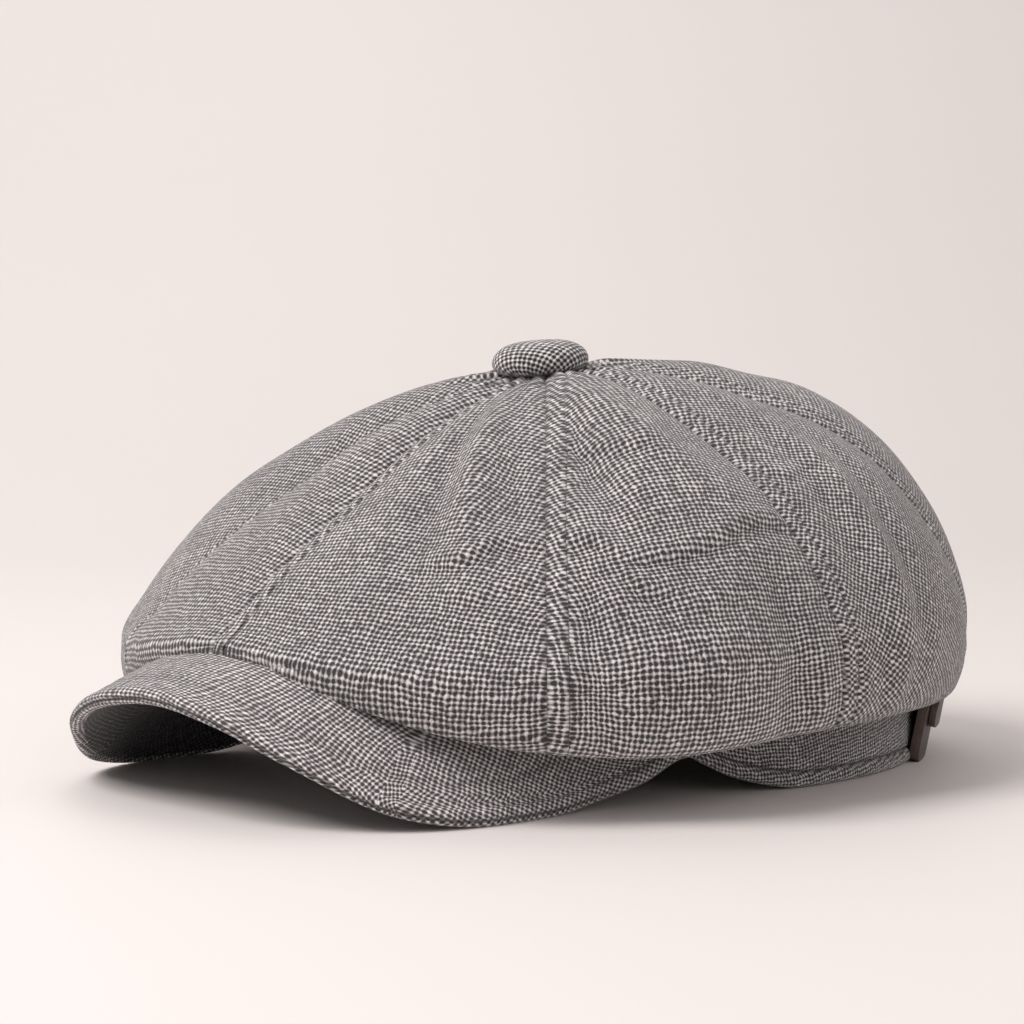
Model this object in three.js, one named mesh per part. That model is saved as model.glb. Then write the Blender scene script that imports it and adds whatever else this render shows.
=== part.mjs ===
// An eight-panel flat cap of coarse grey cloth, with a short stiff peak, a headband and a leather strap.
//
// Millimetres, +Z up. The peak points along -Y and the wearer's left is +X. The cap stands on the plane
// z = 0, as when it is put down by itself: the rear of the headband and the peak's two lobes carry it.
//
// Angles are in degrees round the vertical axis: 0 at the front, 90 at the wearer's left, 180 at the back.

import * as THREE from "three";
import { mergeVertices } from "three/addons/utils/BufferGeometryUtils.js";

// Driving dimensions of the headband
const headLength = 197; // inside, front to back
const headWidth = 179; // inside, side to side
const bandThickness = 2.4;
const bandHeight = 30;
const bandSetback = 25; // how far the headband's middle lies behind the crown's
const bandFrontLift = 43; // height of the headband's lower edge at the front, above the peak's arch

// Driving dimensions of the crown
const crownThickness = 1.6;
const crownWidth = 244; // across the widest part
const crownFrontReach = 126; // from the button's axis to the front
const crownRearReach = 135; // from the button's axis to the back
const crownCornerSwell = 5; // by which the front corners stand out beyond an ellipse
const crownTopHeight = 116.5; // where the panels gather under the button
const crownWidestHeight = 42; // of the widest part, at the sides
const crownStemRadius = 5; // the panels end on this circle under the button
const crownOverlap = 2; // of the crown's sewn edge below the headband's top
const crownLipClearance = 0.75; // between the crown's lip and the leather strap's top edge
const seamDepth = 5; // how far the seams lie below the middles of the panels beside them
const seamGap = 0.3; // between pieces that are sewn edge to edge
const sewnGap = 0.3; // between pieces that lie on each other

// Driving dimensions of the button
const buttonDiameter = 29;
const buttonThickness = 10.5;
const buttonTilt = 6; // degrees, the back edge the higher one
const buttonForward = 3; // how far the button sits ahead of the middle of the gathers
const buttonLift = 1; // clearance between the gathers and the button's underside
const buttonTopShare = 0.6; // of its thickness above its widest part
const buttonRoundness = 0.6; // lower is squarer

// Driving dimensions of the peak
const peakThickness = 4;
const peakLength = 72; // from the headband to the lip, at the front
const peakHalfSpan = 60; // degrees round the headband from the front to where the peak runs out
const peakArchHeight = 29.5; // of the lip's underside at the front
const peakSwell = 3; // how far the peak's middle bulges above a straight line from headband to lip

// Driving dimensions of the leather strap and its tab
const strapLength = 196;
const strapHeight = 20.5;
const strapThickness = 3;
const strapLean = 4; // how much further out its top edge stands than its bottom edge
const strapCornerRadius = 5;
const strapClearance = 0.6; // above the surface that the cap stands on
const tabLength = 190;
const tabHeight = 9;
const tabThickness = 2;
const tabCornerRadius = 4;
const tabDrop = 1.5; // from the strap's top edge to the tab's

// The crown's panels, each from its own seam to the next row's, round to the left
const crownPanels = [
  { name: "front_left", seam: -1 },
  { name: "left_front", seam: 47 },
  { name: "left_rear", seam: 90 },
  { name: "rear_left", seam: 134 },
  { name: "rear_right", seam: 181 },
  { name: "right_rear", seam: 230 },
  { name: "right_front", seam: 280 },
  { name: "front_right", seam: 329 },
];

// Height of the headband's lower edge above the table, as a share of its height at the front
const bandArch = [
  { angle: 0, height: 1 },
  { angle: 20, height: 0.93 },
  { angle: 40, height: 0.66 },
  { angle: 54, height: 0.39 },
  { angle: 60, height: 0.28 },
  { angle: 68, height: 0.13 },
  { angle: 76, height: 0.045 },
  { angle: 85, height: 0 },
  { angle: 130, height: 0 },
  { angle: 180, height: 0 },
];

// The crown's way out, from the button to its widest part, as a share of the distance between them
const crownReach = [
  { along: 0, front: 0, side: 0, rear: 0 },
  { along: 0.1, front: 0.126, side: 0.134, rear: 0.142 },
  { along: 0.2, front: 0.277, side: 0.303, rear: 0.329 },
  { along: 0.3, front: 0.43, side: 0.462, rear: 0.494 },
  { along: 0.4, front: 0.57, side: 0.611, rear: 0.653 },
  { along: 0.5, front: 0.7, side: 0.745, rear: 0.793 },
  { along: 0.6, front: 0.826, side: 0.859, rear: 0.892 },
  { along: 0.7, front: 0.932, side: 0.948, rear: 0.962 },
  { along: 0.78, front: 1, side: 1, rear: 1 },
];

// Its height there, as a share of the rise from the widest part up to the gathers under the button
const crownRise = [
  { along: 0, front: 1, side: 1, rear: 1 },
  { along: 0.1, front: 0.95, side: 1.01, rear: 1.06 },
  { along: 0.2, front: 0.865, side: 0.96, rear: 1.06 },
  { along: 0.3, front: 0.742, side: 0.865, rear: 1.01 },
  { along: 0.4, front: 0.585, side: 0.74, rear: 0.95 },
  { along: 0.5, front: 0.43, side: 0.604, rear: 0.78 },
  { along: 0.6, front: 0.262, side: 0.414, rear: 0.566 },
  { along: 0.7, front: 0.096, side: 0.21, rear: 0.322 },
  { along: 0.78, front: 0, side: 0, rear: 0 },
];

// The crown from its widest part in to the headband: drop is a share of the fall to the lip, inset a share
// of that fall by which the cloth rounds in, inward and tuck are shares of the way from the lip to the
// sewn edge, in and up
const crownUnder = [
  { along: 0.78, drop: 0, inset: 0, inward: 0, tuck: 0 },
  { along: 0.84, drop: 0.5, inset: 0.04, inward: 0, tuck: 0 },
  { along: 0.89, drop: 0.88, inset: 0.17, inward: 0, tuck: 0 },
  { along: 0.92, drop: 1, inset: 0.34, inward: 0.04, tuck: 0 },
  { along: 0.96, drop: 1, inset: 0.34, inward: 0.5, tuck: 0.3 },
  { along: 1, drop: 1, inset: 0.34, inward: 1, tuck: 1 },
];

// Heights of the crown's widest part and of its drooping lip, as shares of the widest part's height at the
// sides, and how far the lip follows the top of the leather strap instead
const crownDroop = [
  { angle: 0, widest: 1.05, lip: 0.97, strap: 0 },
  { angle: 20, widest: 0.95, lip: 0.8, strap: 0 },
  { angle: 35, widest: 0.9, lip: 0.6, strap: 0 },
  { angle: 47, widest: 0.9, lip: 0.5, strap: 0 },
  { angle: 62, widest: 0.95, lip: 0.45, strap: 0 },
  { angle: 85, widest: 1, lip: 0.52, strap: 0 },
  { angle: 110, widest: 1.04, lip: 0.55, strap: 0 },
  { angle: 132, widest: 1.08, lip: 0.55, strap: 1 },
  { angle: 180, widest: 1.08, lip: 0.55, strap: 1 },
];

// Folds (above zero) and dents (below) pressed into the crown: depth is a share of the seams' depth, angle,
// width and slant are in degrees, along and length are shares of the way from button to headband
const crownFolds = [
  { name: "fold ahead of left seam", angle: 32, along: 0.42, width: 4, length: 0.2, slant: 4, depth: 0.5 },
  { name: "valley beside it", angle: 24, along: 0.45, width: 5, length: 0.2, slant: 4, depth: -0.4 },
  { name: "valley behind that seam", angle: 56, along: 0.3, width: 4, length: 0.16, slant: 2, depth: -0.7 },
  { name: "crease on the left", angle: 68, along: 0.6, width: 12, length: 0.05, slant: -4, depth: -0.5 },
  { name: "roll at the far front", angle: 308, along: 0.55, width: 12, length: 0.25, slant: 0, depth: 0.6 },
  { name: "valley on the right", angle: 250, along: 0.45, width: 5, length: 0.2, slant: 6, depth: -0.5 },
  { name: "fold at the back", angle: 204, along: 0.4, width: 5, length: 0.2, slant: -6, depth: 0.4 },
];

// The peak's outer edge from its middle to its end: reach is a share of the peak's length at the front, and
// lip the height of its underside as a share of the arch's height
const peakEdge = [
  { along: 0, reach: 1, lip: 1 },
  { along: 0.15, reach: 1.02, lip: 0.88 },
  { along: 0.27, reach: 1, lip: 0.6 },
  { along: 0.4, reach: 0.89, lip: 0.2 },
  { along: 0.48, reach: 0.79, lip: 0.06 },
  { along: 0.56, reach: 0.635, lip: 0 },
  { along: 0.65, reach: 0.415, lip: 0 },
  { along: 0.75, reach: 0.225, lip: 0.08 },
  { along: 0.86, reach: 0.13, lip: 0.2 },
  { along: 1, reach: 0.04, lip: 0.4 },
];

// Shape of the soft curves
const crownWidestAlong = 0.78; // share of the way from the button at which the tables above meet
const crownFallSlope = 8.3; // of the drop to the lip, where it leaves the widest part
const crownShoulderAlong = 0.6; // above this, folds and seams also move the cloth up and down
const crownRestAlong = 0.7; // below this, the crown may rest on the peak
const seamEndAlong = 0.95; // where the seams run out flat
const restSoftness = 1.5; // mm over which the crown settles on the peak
const peakFallPower = 1.4; // above one, the peak falls the more steeply the nearer its lip
const peakRoundStart = 0.85; // share of the way to the lip where its underside begins to round up
const peakEdgeShare = 0.4; // of the peak's thickness left at its lip
const peakRowSpread = 1.5; // above one, the peak's rows lie closer together towards its lip

// How finely the cloth is divided
const crownColumns = 10;
const crownRows = 20;
const bandColumns = 80;
const bandRows = 2;
const peakColumns = 44;
const peakRows = 7;
const strapColumns = 24;
const strapRows = 4;
const buttonSides = 24;
const buttonSteps = 10;
const normalStep = 0.002; // share of a sheet over which its slope is measured

const degree = Math.PI / 180;
const bandOuterLength = headLength + 2 * bandThickness;
const bandOuterWidth = headWidth + 2 * bandThickness;
const strapTop = strapClearance + strapHeight;
const levelEnds = { first: 0, last: 0 };

/**
 * Slope of a smooth curve through a table's rows, at one row: level where the curve turns or runs level,
 * and a given slope at the first and the last row.
 */
function slopeAt(rows, place, column, index, ends) {
  if (index === 0) {
    return ends.first;
  }
  if (index === rows.length - 1) {
    return ends.last;
  }
  const before = rows[index - 1];
  const here = rows[index];
  const after = rows[index + 1];
  if ((here[column] - before[column]) * (after[column] - here[column]) <= 0) {
    return 0;
  }
  return (after[column] - before[column]) / (after[place] - before[place]);
}

/** Value of a table's column at a place between its rows, on a smooth curve through them. */
function tableValue(rows, place, column, where, ends = levelEnds) {
  const inside = Math.min(Math.max(where, rows[0][place]), rows[rows.length - 1][place]);
  let index = 0;
  while (index < rows.length - 2 && inside > rows[index + 1][place]) {
    index += 1;
  }
  const start = rows[index];
  const end = rows[index + 1];
  const span = end[place] - start[place];
  const t = (inside - start[place]) / span;
  const startSlope = slopeAt(rows, place, column, index, ends) * span;
  const endSlope = slopeAt(rows, place, column, index + 1, ends) * span;
  const rise = t * t * (3 - 2 * t);
  const lead = t * (1 - t) * (1 - t);
  const trail = t * t * (1 - t);
  return start[column] * (1 - rise) + end[column] * rise + startSlope * lead - endSlope * trail;
}

/** Angle folded to 0 to 180 degrees, for tables that are alike on the left and the right. */
function mirroredAngle(angle) {
  const turned = ((angle % 360) + 360) % 360;
  return Math.min(turned, 360 - turned);
}

/** Signed difference between two angles, from -180 to 180 degrees. */
function angleBetween(angle, other) {
  return ((((angle - other + 180) % 360) + 360) % 360) - 180;
}

/** Unit vector that points outward at an angle. */
function outward(angle) {
  return new THREE.Vector3(Math.sin(angle * degree), -Math.cos(angle * degree), 0);
}

/** Distance from the button's axis to the outside of the headband, at an angle, with an extra clearance. */
function bandRadiusFromCrown(angle, clearance) {
  const halfWidth = bandOuterWidth / 2 + clearance;
  const halfLength = bandOuterLength / 2 + clearance;
  const across = outward(angle).x / halfWidth;
  const along = outward(angle).y / halfLength;
  const offset = bandSetback / halfLength;
  const squared = across * across + along * along;
  const middle = along * offset;
  return (middle + Math.sqrt(middle * middle + squared * (1 - offset * offset))) / squared;
}

/** Distance from the headband's middle to its outside, at an angle, with an extra clearance. */
function bandRadius(angle, clearance) {
  const halfWidth = bandOuterWidth / 2 + clearance;
  const halfLength = bandOuterLength / 2 + clearance;
  const direction = outward(angle);
  return 1 / Math.hypot(direction.x / halfWidth, direction.y / halfLength);
}

/** Point at an angle, a distance and a height from the headband's middle. */
function pointFromBand(angle, radius, height) {
  return outward(angle).multiplyScalar(radius).add(new THREE.Vector3(0, bandSetback, height));
}

/** Height of the headband's lower edge at an angle. */
function bandBottom(angle) {
  return bandFrontLift * tableValue(bandArch, "angle", "height", mirroredAngle(angle));
}

/** Surface normal of a sheet given by a function of two shares, by small steps along it. */
function sheetNormal(surface, u, v) {
  const here = surface(u, v);
  const uStep = u > 0.5 ? -normalStep : normalStep;
  const vStep = v > 0.5 ? -normalStep : normalStep;
  const alongU = surface(u + uStep, v).sub(here).multiplyScalar(1 / uStep);
  const alongV = surface(u, v + vStep).sub(here).multiplyScalar(1 / vStep);
  return alongV.cross(alongU).normalize();
}

/** A second sheet that lies a thickness behind the first one. */
function sheetBehind(surface, thickness) {
  return (u, v) => surface(u, v).addScaledVector(sheetNormal(surface, u, v), -thickness);
}

/**
 * Closed solid between two sheets, each a function of two shares. The first sheet faces outward where v runs
 * down and u to the right, seen from outside. A looped solid joins its last column to its first.
 */
function solidBetween(outerSheet, innerSheet, columns, rows, looped = false) {
  const columnCount = looped ? columns : columns + 1;
  const positions = [];
  for (const sheet of [outerSheet, innerSheet]) {
    for (let row = 0; row <= rows; row += 1) {
      for (let column = 0; column < columnCount; column += 1) {
        positions.push(...sheet(column / columns, row / rows).toArray());
      }
    }
  }
  const innerStart = columnCount * (rows + 1);
  const vertex = (column, row) => row * columnCount + (column % columnCount);
  const faces = [];
  const addSquare = (a, b, c, d) => faces.push(a, b, c, a, c, d);
  const addWall = (a, b) => addSquare(b, a, innerStart + a, innerStart + b);
  for (let row = 0; row < rows; row += 1) {
    for (let column = 0; column < columns; column += 1) {
      const a = vertex(column, row);
      const b = vertex(column, row + 1);
      const c = vertex(column + 1, row + 1);
      const d = vertex(column + 1, row);
      addSquare(a, b, c, d);
      addSquare(innerStart + d, innerStart + c, innerStart + b, innerStart + a);
    }
  }
  for (let column = 0; column < columns; column += 1) {
    addWall(vertex(column + 1, 0), vertex(column, 0));
    addWall(vertex(column, rows), vertex(column + 1, rows));
  }
  for (let row = 0; row < rows && !looped; row += 1) {
    addWall(vertex(0, row), vertex(0, row + 1));
    addWall(vertex(columns, row + 1), vertex(columns, row));
  }
  const geometry = new THREE.BufferGeometry();
  geometry.setAttribute("position", new THREE.Float32BufferAttribute(positions, 3));
  geometry.setIndex(faces);
  return mergeVertices(geometry);
}

/** Top of the peak at an angle round the headband and a share of the way out from there to the lip. */
function peakTop(angle, outShare) {
  const along = Math.abs(angle) / peakHalfSpan;
  const rootHeight = bandBottom(angle) + peakThickness;
  const reach = peakLength * tableValue(peakEdge, "along", "reach", along);
  const lipThickness = peakThickness * peakEdgeShare;
  const lipHeight = peakArchHeight * tableValue(peakEdge, "along", "lip", along) + lipThickness;
  const fall = outShare ** peakFallPower;
  const swell = peakSwell * Math.sin(Math.PI * outShare);
  const height = rootHeight + fall * (lipHeight - rootHeight) + swell;
  return pointFromBand(angle, bandRadius(angle, sewnGap) + reach * outShare, height);
}

/** Height of the peak's top under a point, or nothing where the peak doesn't reach. */
function peakHeightUnder(point) {
  const fromBand = new THREE.Vector3(point.x, point.y - bandSetback, 0);
  const angle = Math.atan2(fromBand.x, -fromBand.y) / degree;
  if (Math.abs(angle) > peakHalfSpan) {
    return null;
  }
  const root = bandRadius(angle, sewnGap);
  const reach = peakLength * tableValue(peakEdge, "along", "reach", Math.abs(angle) / peakHalfSpan);
  const outShare = (fromBand.length() - root) / reach;
  return peakTop(angle, Math.min(Math.max(outShare, 0), 1)).z;
}

/** The larger of two heights, with a soft change from one to the other. */
function softMaximum(first, second) {
  return (first + second + Math.hypot(first - second, restSoftness)) / 2;
}

/** Distance from the button's axis to the crown's widest part: half ellipses with squarer front corners. */
function crownRadius(angle) {
  const direction = outward(angle);
  const lengthwise = direction.y < 0 ? crownFrontReach : crownRearReach;
  const corner = direction.y < 0 ? Math.sin(2 * angle * degree) ** 2 : 0;
  const plainRadius = 1 / Math.hypot(direction.x / (crownWidth / 2), direction.y / lengthwise);
  return plainRadius + crownCornerSwell * corner;
}

/** Value of a table with a front, a side and a rear column, blended round from front or rear to side. */
function valueAround(rows, direction, along, ends) {
  const sideShare = direction.x * direction.x;
  const endName = direction.y < 0 ? "front" : "rear";
  const sideValue = tableValue(rows, "along", "side", along, ends);
  const endValue = tableValue(rows, "along", endName, along, ends);
  return sideValue * sideShare + endValue * (1 - sideShare);
}

/** The crown's plain outer surface at an angle and a share of the way from the button to the headband. */
function plainCrownPoint(angle, along) {
  const direction = outward(angle);
  const folded = mirroredAngle(angle);
  const widestRadius = crownRadius(angle);
  const widestHeight = crownWidestHeight * tableValue(crownDroop, "angle", "widest", folded);
  const plainLip = crownWidestHeight * tableValue(crownDroop, "angle", "lip", folded);
  const strapShare = tableValue(crownDroop, "angle", "strap", folded);
  const lipHeight = plainLip + strapShare * (strapTop + crownLipClearance - plainLip);
  if (along <= crownWidestAlong) {
    const steepness = (crownFallSlope * (widestHeight - lipHeight)) / (crownTopHeight - widestHeight);
    const reach = valueAround(crownReach, direction, along, levelEnds);
    const rise = valueAround(crownRise, direction, along, { first: 0, last: -steepness });
    const radius = crownStemRadius + reach * (widestRadius - crownStemRadius);
    const height = widestHeight + rise * (crownTopHeight - widestHeight);
    return direction.multiplyScalar(radius).setZ(height);
  }
  const sewnRadius = bandRadiusFromCrown(angle, sewnGap + crownThickness);
  const sewnHeight = bandBottom(angle) + bandHeight - crownOverlap;
  const drop = tableValue(crownUnder, "along", "drop", along, { first: crownFallSlope, last: 0 });
  const inset = tableValue(crownUnder, "along", "inset", along);
  const inward = tableValue(crownUnder, "along", "inward", along);
  const tuck = tableValue(crownUnder, "along", "tuck", along);
  const lipRadius = widestRadius - inset * (widestHeight - lipHeight);
  const radius = lipRadius + inward * (sewnRadius - lipRadius);
  const height = widestHeight + drop * (lipHeight - widestHeight) + tuck * (sewnHeight - lipHeight);
  return direction.multiplyScalar(radius).setZ(height);
}

/** Angles of a panel's two seams, the second one the larger. */
function panelSeams(index) {
  const start = crownPanels[index].seam;
  const next = crownPanels[(index + 1) % crownPanels.length].seam;
  return { start, end: next > start ? next : next + 360 };
}

/** Shape of one fold or dent at a place on the crown, from 0 far away to 1 in its middle. */
function foldShape(fold, angle, along) {
  const lengthwise = (along - fold.along) / fold.length;
  const sideways = (angleBetween(angle, fold.angle) - fold.slant * lengthwise) / fold.width;
  return Math.exp(-(sideways * sideways) - lengthwise * lengthwise);
}

/** How far the cloth stands out of the plain crown: seams lie low, folds and dents vary the rest. */
function crownRelief(angle, along, seams) {
  const middle = (seams.start + seams.end) / 2;
  const acrossPanel = (2 * angleBetween(angle, middle)) / (seams.end - seams.start);
  const seam = acrossPanel * acrossPanel * Math.sin(Math.PI * Math.min(along / seamEndAlong, 1));
  const folds = crownFolds.reduce((sum, fold) => sum + fold.depth * foldShape(fold, angle, along), 0);
  return seamDepth * (folds - seam);
}

/** The crown's outer surface with its seams, folds and dents, resting on the peak where it meets it. */
function crownPoint(angle, along, seams) {
  const point = plainCrownPoint(angle, along);
  const upShare = Math.max(0, 1 - along / crownShoulderAlong);
  const lift = outward(angle).multiplyScalar(1 - upShare).setZ(upShare).normalize();
  point.addScaledVector(lift, crownRelief(angle, along, seams));
  const rest = along > crownRestAlong ? peakHeightUnder(point) : null;
  if (rest !== null) {
    point.z = softMaximum(point.z, rest + sewnGap);
  }
  return point;
}

/** One crown panel's solid. */
function crownPanelGeometry(index) {
  const seams = panelSeams(index);
  const surface = (u, v) => {
    const radius = Math.max(crownStemRadius, plainCrownPoint(seams.start, v).setZ(0).length());
    const gap = seamGap / radius / degree;
    return crownPoint(seams.start + gap / 2 + u * (seams.end - seams.start - gap), v, seams);
  };
  return solidBetween(surface, sheetBehind(surface, crownThickness), crownColumns, crownRows);
}

/** The headband's solid: a looped strip that stands on its rear half and arches up over the peak. */
function bandGeometry() {
  const surface = (clearance) => (u, v) => {
    const angle = 360 * u;
    return pointFromBand(angle, bandRadius(angle, clearance), bandBottom(angle) + bandHeight * (1 - v));
  };
  return solidBetween(surface(0), surface(-bandThickness), bandColumns, bandRows, true);
}

/** The peak's solid: arched across, swollen a little, with a rounded lip. */
function peakGeometry() {
  const surface = (u, v) => peakTop((u - 0.5) * 2 * peakHalfSpan, 1 - (1 - v) ** peakRowSpread);
  const underside = (u, v) => {
    const edge = Math.max(0, (v - peakRoundStart) / (1 - peakRoundStart));
    const roundness = peakEdgeShare + (1 - peakEdgeShare) * Math.sqrt(1 - edge * edge);
    const point = surface(u, v);
    return point.setZ(point.z - peakThickness * roundness);
  };
  return solidBetween(surface, underside, peakColumns, peakRows);
}

/** A strip of leather that follows the rear of the headband, leaning out, with rounded corners. */
function rearStripGeometry(length, bottom, height, clearance, thickness, cornerRadius) {
  const meanRadius = (bandOuterLength + bandOuterWidth) / 4;
  const halfAngle = length / 2 / meanRadius / degree;
  const surface = (offset) => (u, v) => {
    const fromEnd = length * Math.min(u, 1 - u);
    const inset = Math.max(0, cornerRadius - fromEnd);
    const cut = cornerRadius - Math.sqrt(cornerRadius * cornerRadius - inset * inset);
    const angle = 180 + (u - 0.5) * 2 * halfAngle;
    const place = bottom + cut + (1 - v) * (height - 2 * cut);
    const lean = (strapLean * (place - strapClearance)) / strapHeight;
    return pointFromBand(angle, bandRadius(angle, clearance + lean + offset), place);
  };
  return solidBetween(surface(thickness), surface(0), strapColumns, strapRows);
}

/** The button's solid: a flattened ball, flatter below than above. */
function buttonGeometry() {
  const profile = [];
  for (let step = 0; step <= buttonSteps; step += 1) {
    const turn = -90 + (180 * step) / buttonSteps;
    const halfHeight = buttonThickness * (turn < 0 ? 1 - buttonTopShare : buttonTopShare);
    const onAxis = step === 0 || step === buttonSteps;
    const across = onAxis ? 0 : (buttonDiameter / 2) * Math.cos(turn * degree) ** buttonRoundness;
    profile.push(new THREE.Vector2(across, halfHeight * Math.sin(turn * degree)));
  }
  const geometry = new THREE.LatheGeometry(profile, buttonSides);
  geometry.rotateX(Math.PI / 2);
  geometry.deleteAttribute("normal");
  geometry.deleteAttribute("uv");
  return mergeVertices(geometry);
}

const cloth = new THREE.MeshStandardMaterial({ color: 0x857f80, roughness: 0.95, metalness: 0 });
const leather = new THREE.MeshStandardMaterial({ color: 0x4a3d3c, roughness: 0.6, metalness: 0 });

const cap = new THREE.Group();

/** Adds one named piece to the cap. */
function addPiece(name, geometry, material) {
  const piece = new THREE.Mesh(geometry, material);
  piece.name = name;
  cap.add(piece);
  return piece;
}

crownPanels.forEach((panel, index) => {
  addPiece(`crown_panel_${panel.name}`, crownPanelGeometry(index), cloth);
});

const button = addPiece("button", buttonGeometry(), cloth);
button.position.set(0, -buttonForward, crownTopHeight + buttonThickness * (1 - buttonTopShare) + buttonLift);
button.rotation.x = buttonTilt * degree;

addPiece("peak", peakGeometry(), cloth);
addPiece("headband", bandGeometry(), cloth);

const strapGeometry = rearStripGeometry(
  strapLength,
  strapClearance,
  strapHeight,
  sewnGap,
  strapThickness,
  strapCornerRadius,
);
addPiece("back_strap", strapGeometry, leather);

const tabGeometry = rearStripGeometry(
  tabLength,
  strapTop - tabDrop - tabHeight,
  tabHeight,
  sewnGap + strapThickness + sewnGap,
  tabThickness,
  tabCornerRadius,
);
addPiece("strap_tab", tabGeometry, leather);

// The origin is under the middle of the cap, on the surface that it stands on
const bounds = new THREE.Box3().setFromObject(cap);
const middle = bounds.getCenter(new THREE.Vector3());
cap.position.set(-middle.x, -middle.y, -bounds.min.z);

export default cap;
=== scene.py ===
"""An eight-panel cap of coarse grey cloth with a short peak, standing on a pale floor.

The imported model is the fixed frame. Every cloth and leather piece here is a finely divided surface over its
solid. Sizes are in millimetres and angles in degrees round the crown's axis, 0 at the front and 90 at the
wearer's left. Meshes are written in metres.
"""

import logging
import math
from dataclasses import dataclass, field
from enum import Enum

import bmesh
import bpy
import numpy as np
from mathutils import Matrix, Vector


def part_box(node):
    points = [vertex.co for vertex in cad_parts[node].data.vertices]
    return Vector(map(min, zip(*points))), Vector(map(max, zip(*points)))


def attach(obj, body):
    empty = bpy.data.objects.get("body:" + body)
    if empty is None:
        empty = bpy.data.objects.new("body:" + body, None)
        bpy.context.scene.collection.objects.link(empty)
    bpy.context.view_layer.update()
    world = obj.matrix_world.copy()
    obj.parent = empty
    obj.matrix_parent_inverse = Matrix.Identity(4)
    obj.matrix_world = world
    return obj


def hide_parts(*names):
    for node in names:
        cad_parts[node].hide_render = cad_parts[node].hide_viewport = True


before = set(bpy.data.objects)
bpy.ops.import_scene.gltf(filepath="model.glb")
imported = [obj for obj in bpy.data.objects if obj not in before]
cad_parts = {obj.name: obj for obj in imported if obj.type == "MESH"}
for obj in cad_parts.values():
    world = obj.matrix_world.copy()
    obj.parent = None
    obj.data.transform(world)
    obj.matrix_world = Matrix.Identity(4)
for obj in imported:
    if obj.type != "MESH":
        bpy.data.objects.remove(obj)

LOG = logging.getLogger("cap")
MM = 0.001
BODY = "root"
TINY = 1e-6


class Slot(Enum):
    """The record's material slots."""

    CLOTH = "cloth"
    LEATHER = "leather"


@dataclass(frozen=True)
class Curve:
    """A smooth curve through a few given rows, level where the rows turn or run level."""

    places: tuple[float, ...]
    values: tuple[float, ...]

    def slopes(self) -> np.ndarray:
        """Works out the curve's slope at its rows.

        Returns:
            The slope at each row: nothing at the two ends and wherever the rows turn or run level.
        """
        places, values = np.array(self.places), np.array(self.values)
        slopes = np.zeros(len(places))
        before, after = np.diff(values)[:-1], np.diff(values)[1:]
        across = (values[2:] - values[:-2]) / (places[2:] - places[:-2])
        slopes[1:-1] = np.where(before * after <= 0, 0, across)
        return slopes

    def at(self, where: np.ndarray, first: np.ndarray = 0.0, last: np.ndarray = 0.0) -> np.ndarray:
        """Value of the curve at each place.

        Args:
            where: places along the curve; those beyond its ends take the end's value.
            first: slope at the first row.
            last: slope at the last row.

        Returns:
            The values, in an array of the same shape.
        """
        places, values, slopes = np.array(self.places), np.array(self.values), self.slopes()
        inside = np.clip(where, places[0], places[-1])
        index = np.clip(np.searchsorted(places, inside, side="right") - 1, 0, len(places) - 2)
        span = places[index + 1] - places[index]
        t = (inside - places[index]) / span
        rise = t * t * (3 - 2 * t)
        lead = t * (1 - t) ** 2 * np.where(index == 0, first, slopes[index]) * span
        end_slope = np.where(index == len(places) - 2, last, slopes[index + 1])
        trail = t * t * (1 - t) * end_slope * span
        return values[index] * (1 - rise) + values[index + 1] * rise + lead - trail


@dataclass(frozen=True)
class Fold:
    """A soft fold or dent in the crown: angle, width and slant in degrees, along and length as shares."""

    angle: float
    along: float
    width: float
    length: float
    slant: float
    depth: float

    def shape(self, angle: np.ndarray, along: np.ndarray) -> np.ndarray:
        """Works out how deep the fold is.

        Args:
            angle: places round the crown.
            along: shares of the way out from the button.

        Returns:
            The depth at each place, from the fold's own depth in its middle to nothing far away.
        """
        lengthwise = (along - self.along) / self.length
        sideways = (angle_between(angle, self.angle) - self.slant * lengthwise) / self.width
        return self.depth * np.exp(-sideways * sideways - lengthwise * lengthwise)


@dataclass(frozen=True)
class Crease:
    """A crease that runs round the crown: its way down at a few angles, its width there and its height."""

    path: Curve
    width: float
    height: float
    fade: float = 5.0

    def shape(self, angle: np.ndarray, along: np.ndarray) -> np.ndarray:
        """Works out how high the crease stands.

        Args:
            angle: places round the crown.
            along: shares of the way out from the button.

        Returns:
            The height at each place: a soft ridge with a sharper dent under it.
        """
        first, last = self.path.places[0], self.path.places[-1]
        shown = ramp(angle, first, first + self.fade) * (1 - ramp(angle, last - self.fade, last))
        across = (along - self.path.at(angle)) / self.width
        return self.height * shown * (bump(across, 1.0) - 0.7 * bump(across - 1.6, 0.9))


def angle_between(angle: np.ndarray, other: float) -> np.ndarray:
    """Signed difference between angles, from -180 to 180 degrees."""
    return (angle - other + 180) % 360 - 180


def outward(angle: np.ndarray) -> np.ndarray:
    """Unit vectors that point outward at the given angles."""
    turn = np.radians(angle)
    return np.stack([np.sin(turn), -np.cos(turn), np.zeros_like(turn)], axis=-1)


def bump(distance: np.ndarray, width: float) -> np.ndarray:
    """A smooth bump of height one, centred where the distance is nothing."""
    return np.exp(-((distance / width) ** 2))


def waves(turn: np.ndarray, parts: tuple[tuple[float, float, float], ...]) -> np.ndarray:
    """Sum of waves along a turn, each given by its count, its lead and its size."""
    return sum(size * np.sin(turn * count + lead) for count, lead, size in parts)


def ramp(value: np.ndarray, start: float, end: float) -> np.ndarray:
    """Smooth step from 0 at start to 1 at end."""
    t = np.clip((value - start) / (end - start), 0, 1)
    return t * t * (3 - 2 * t)


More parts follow.
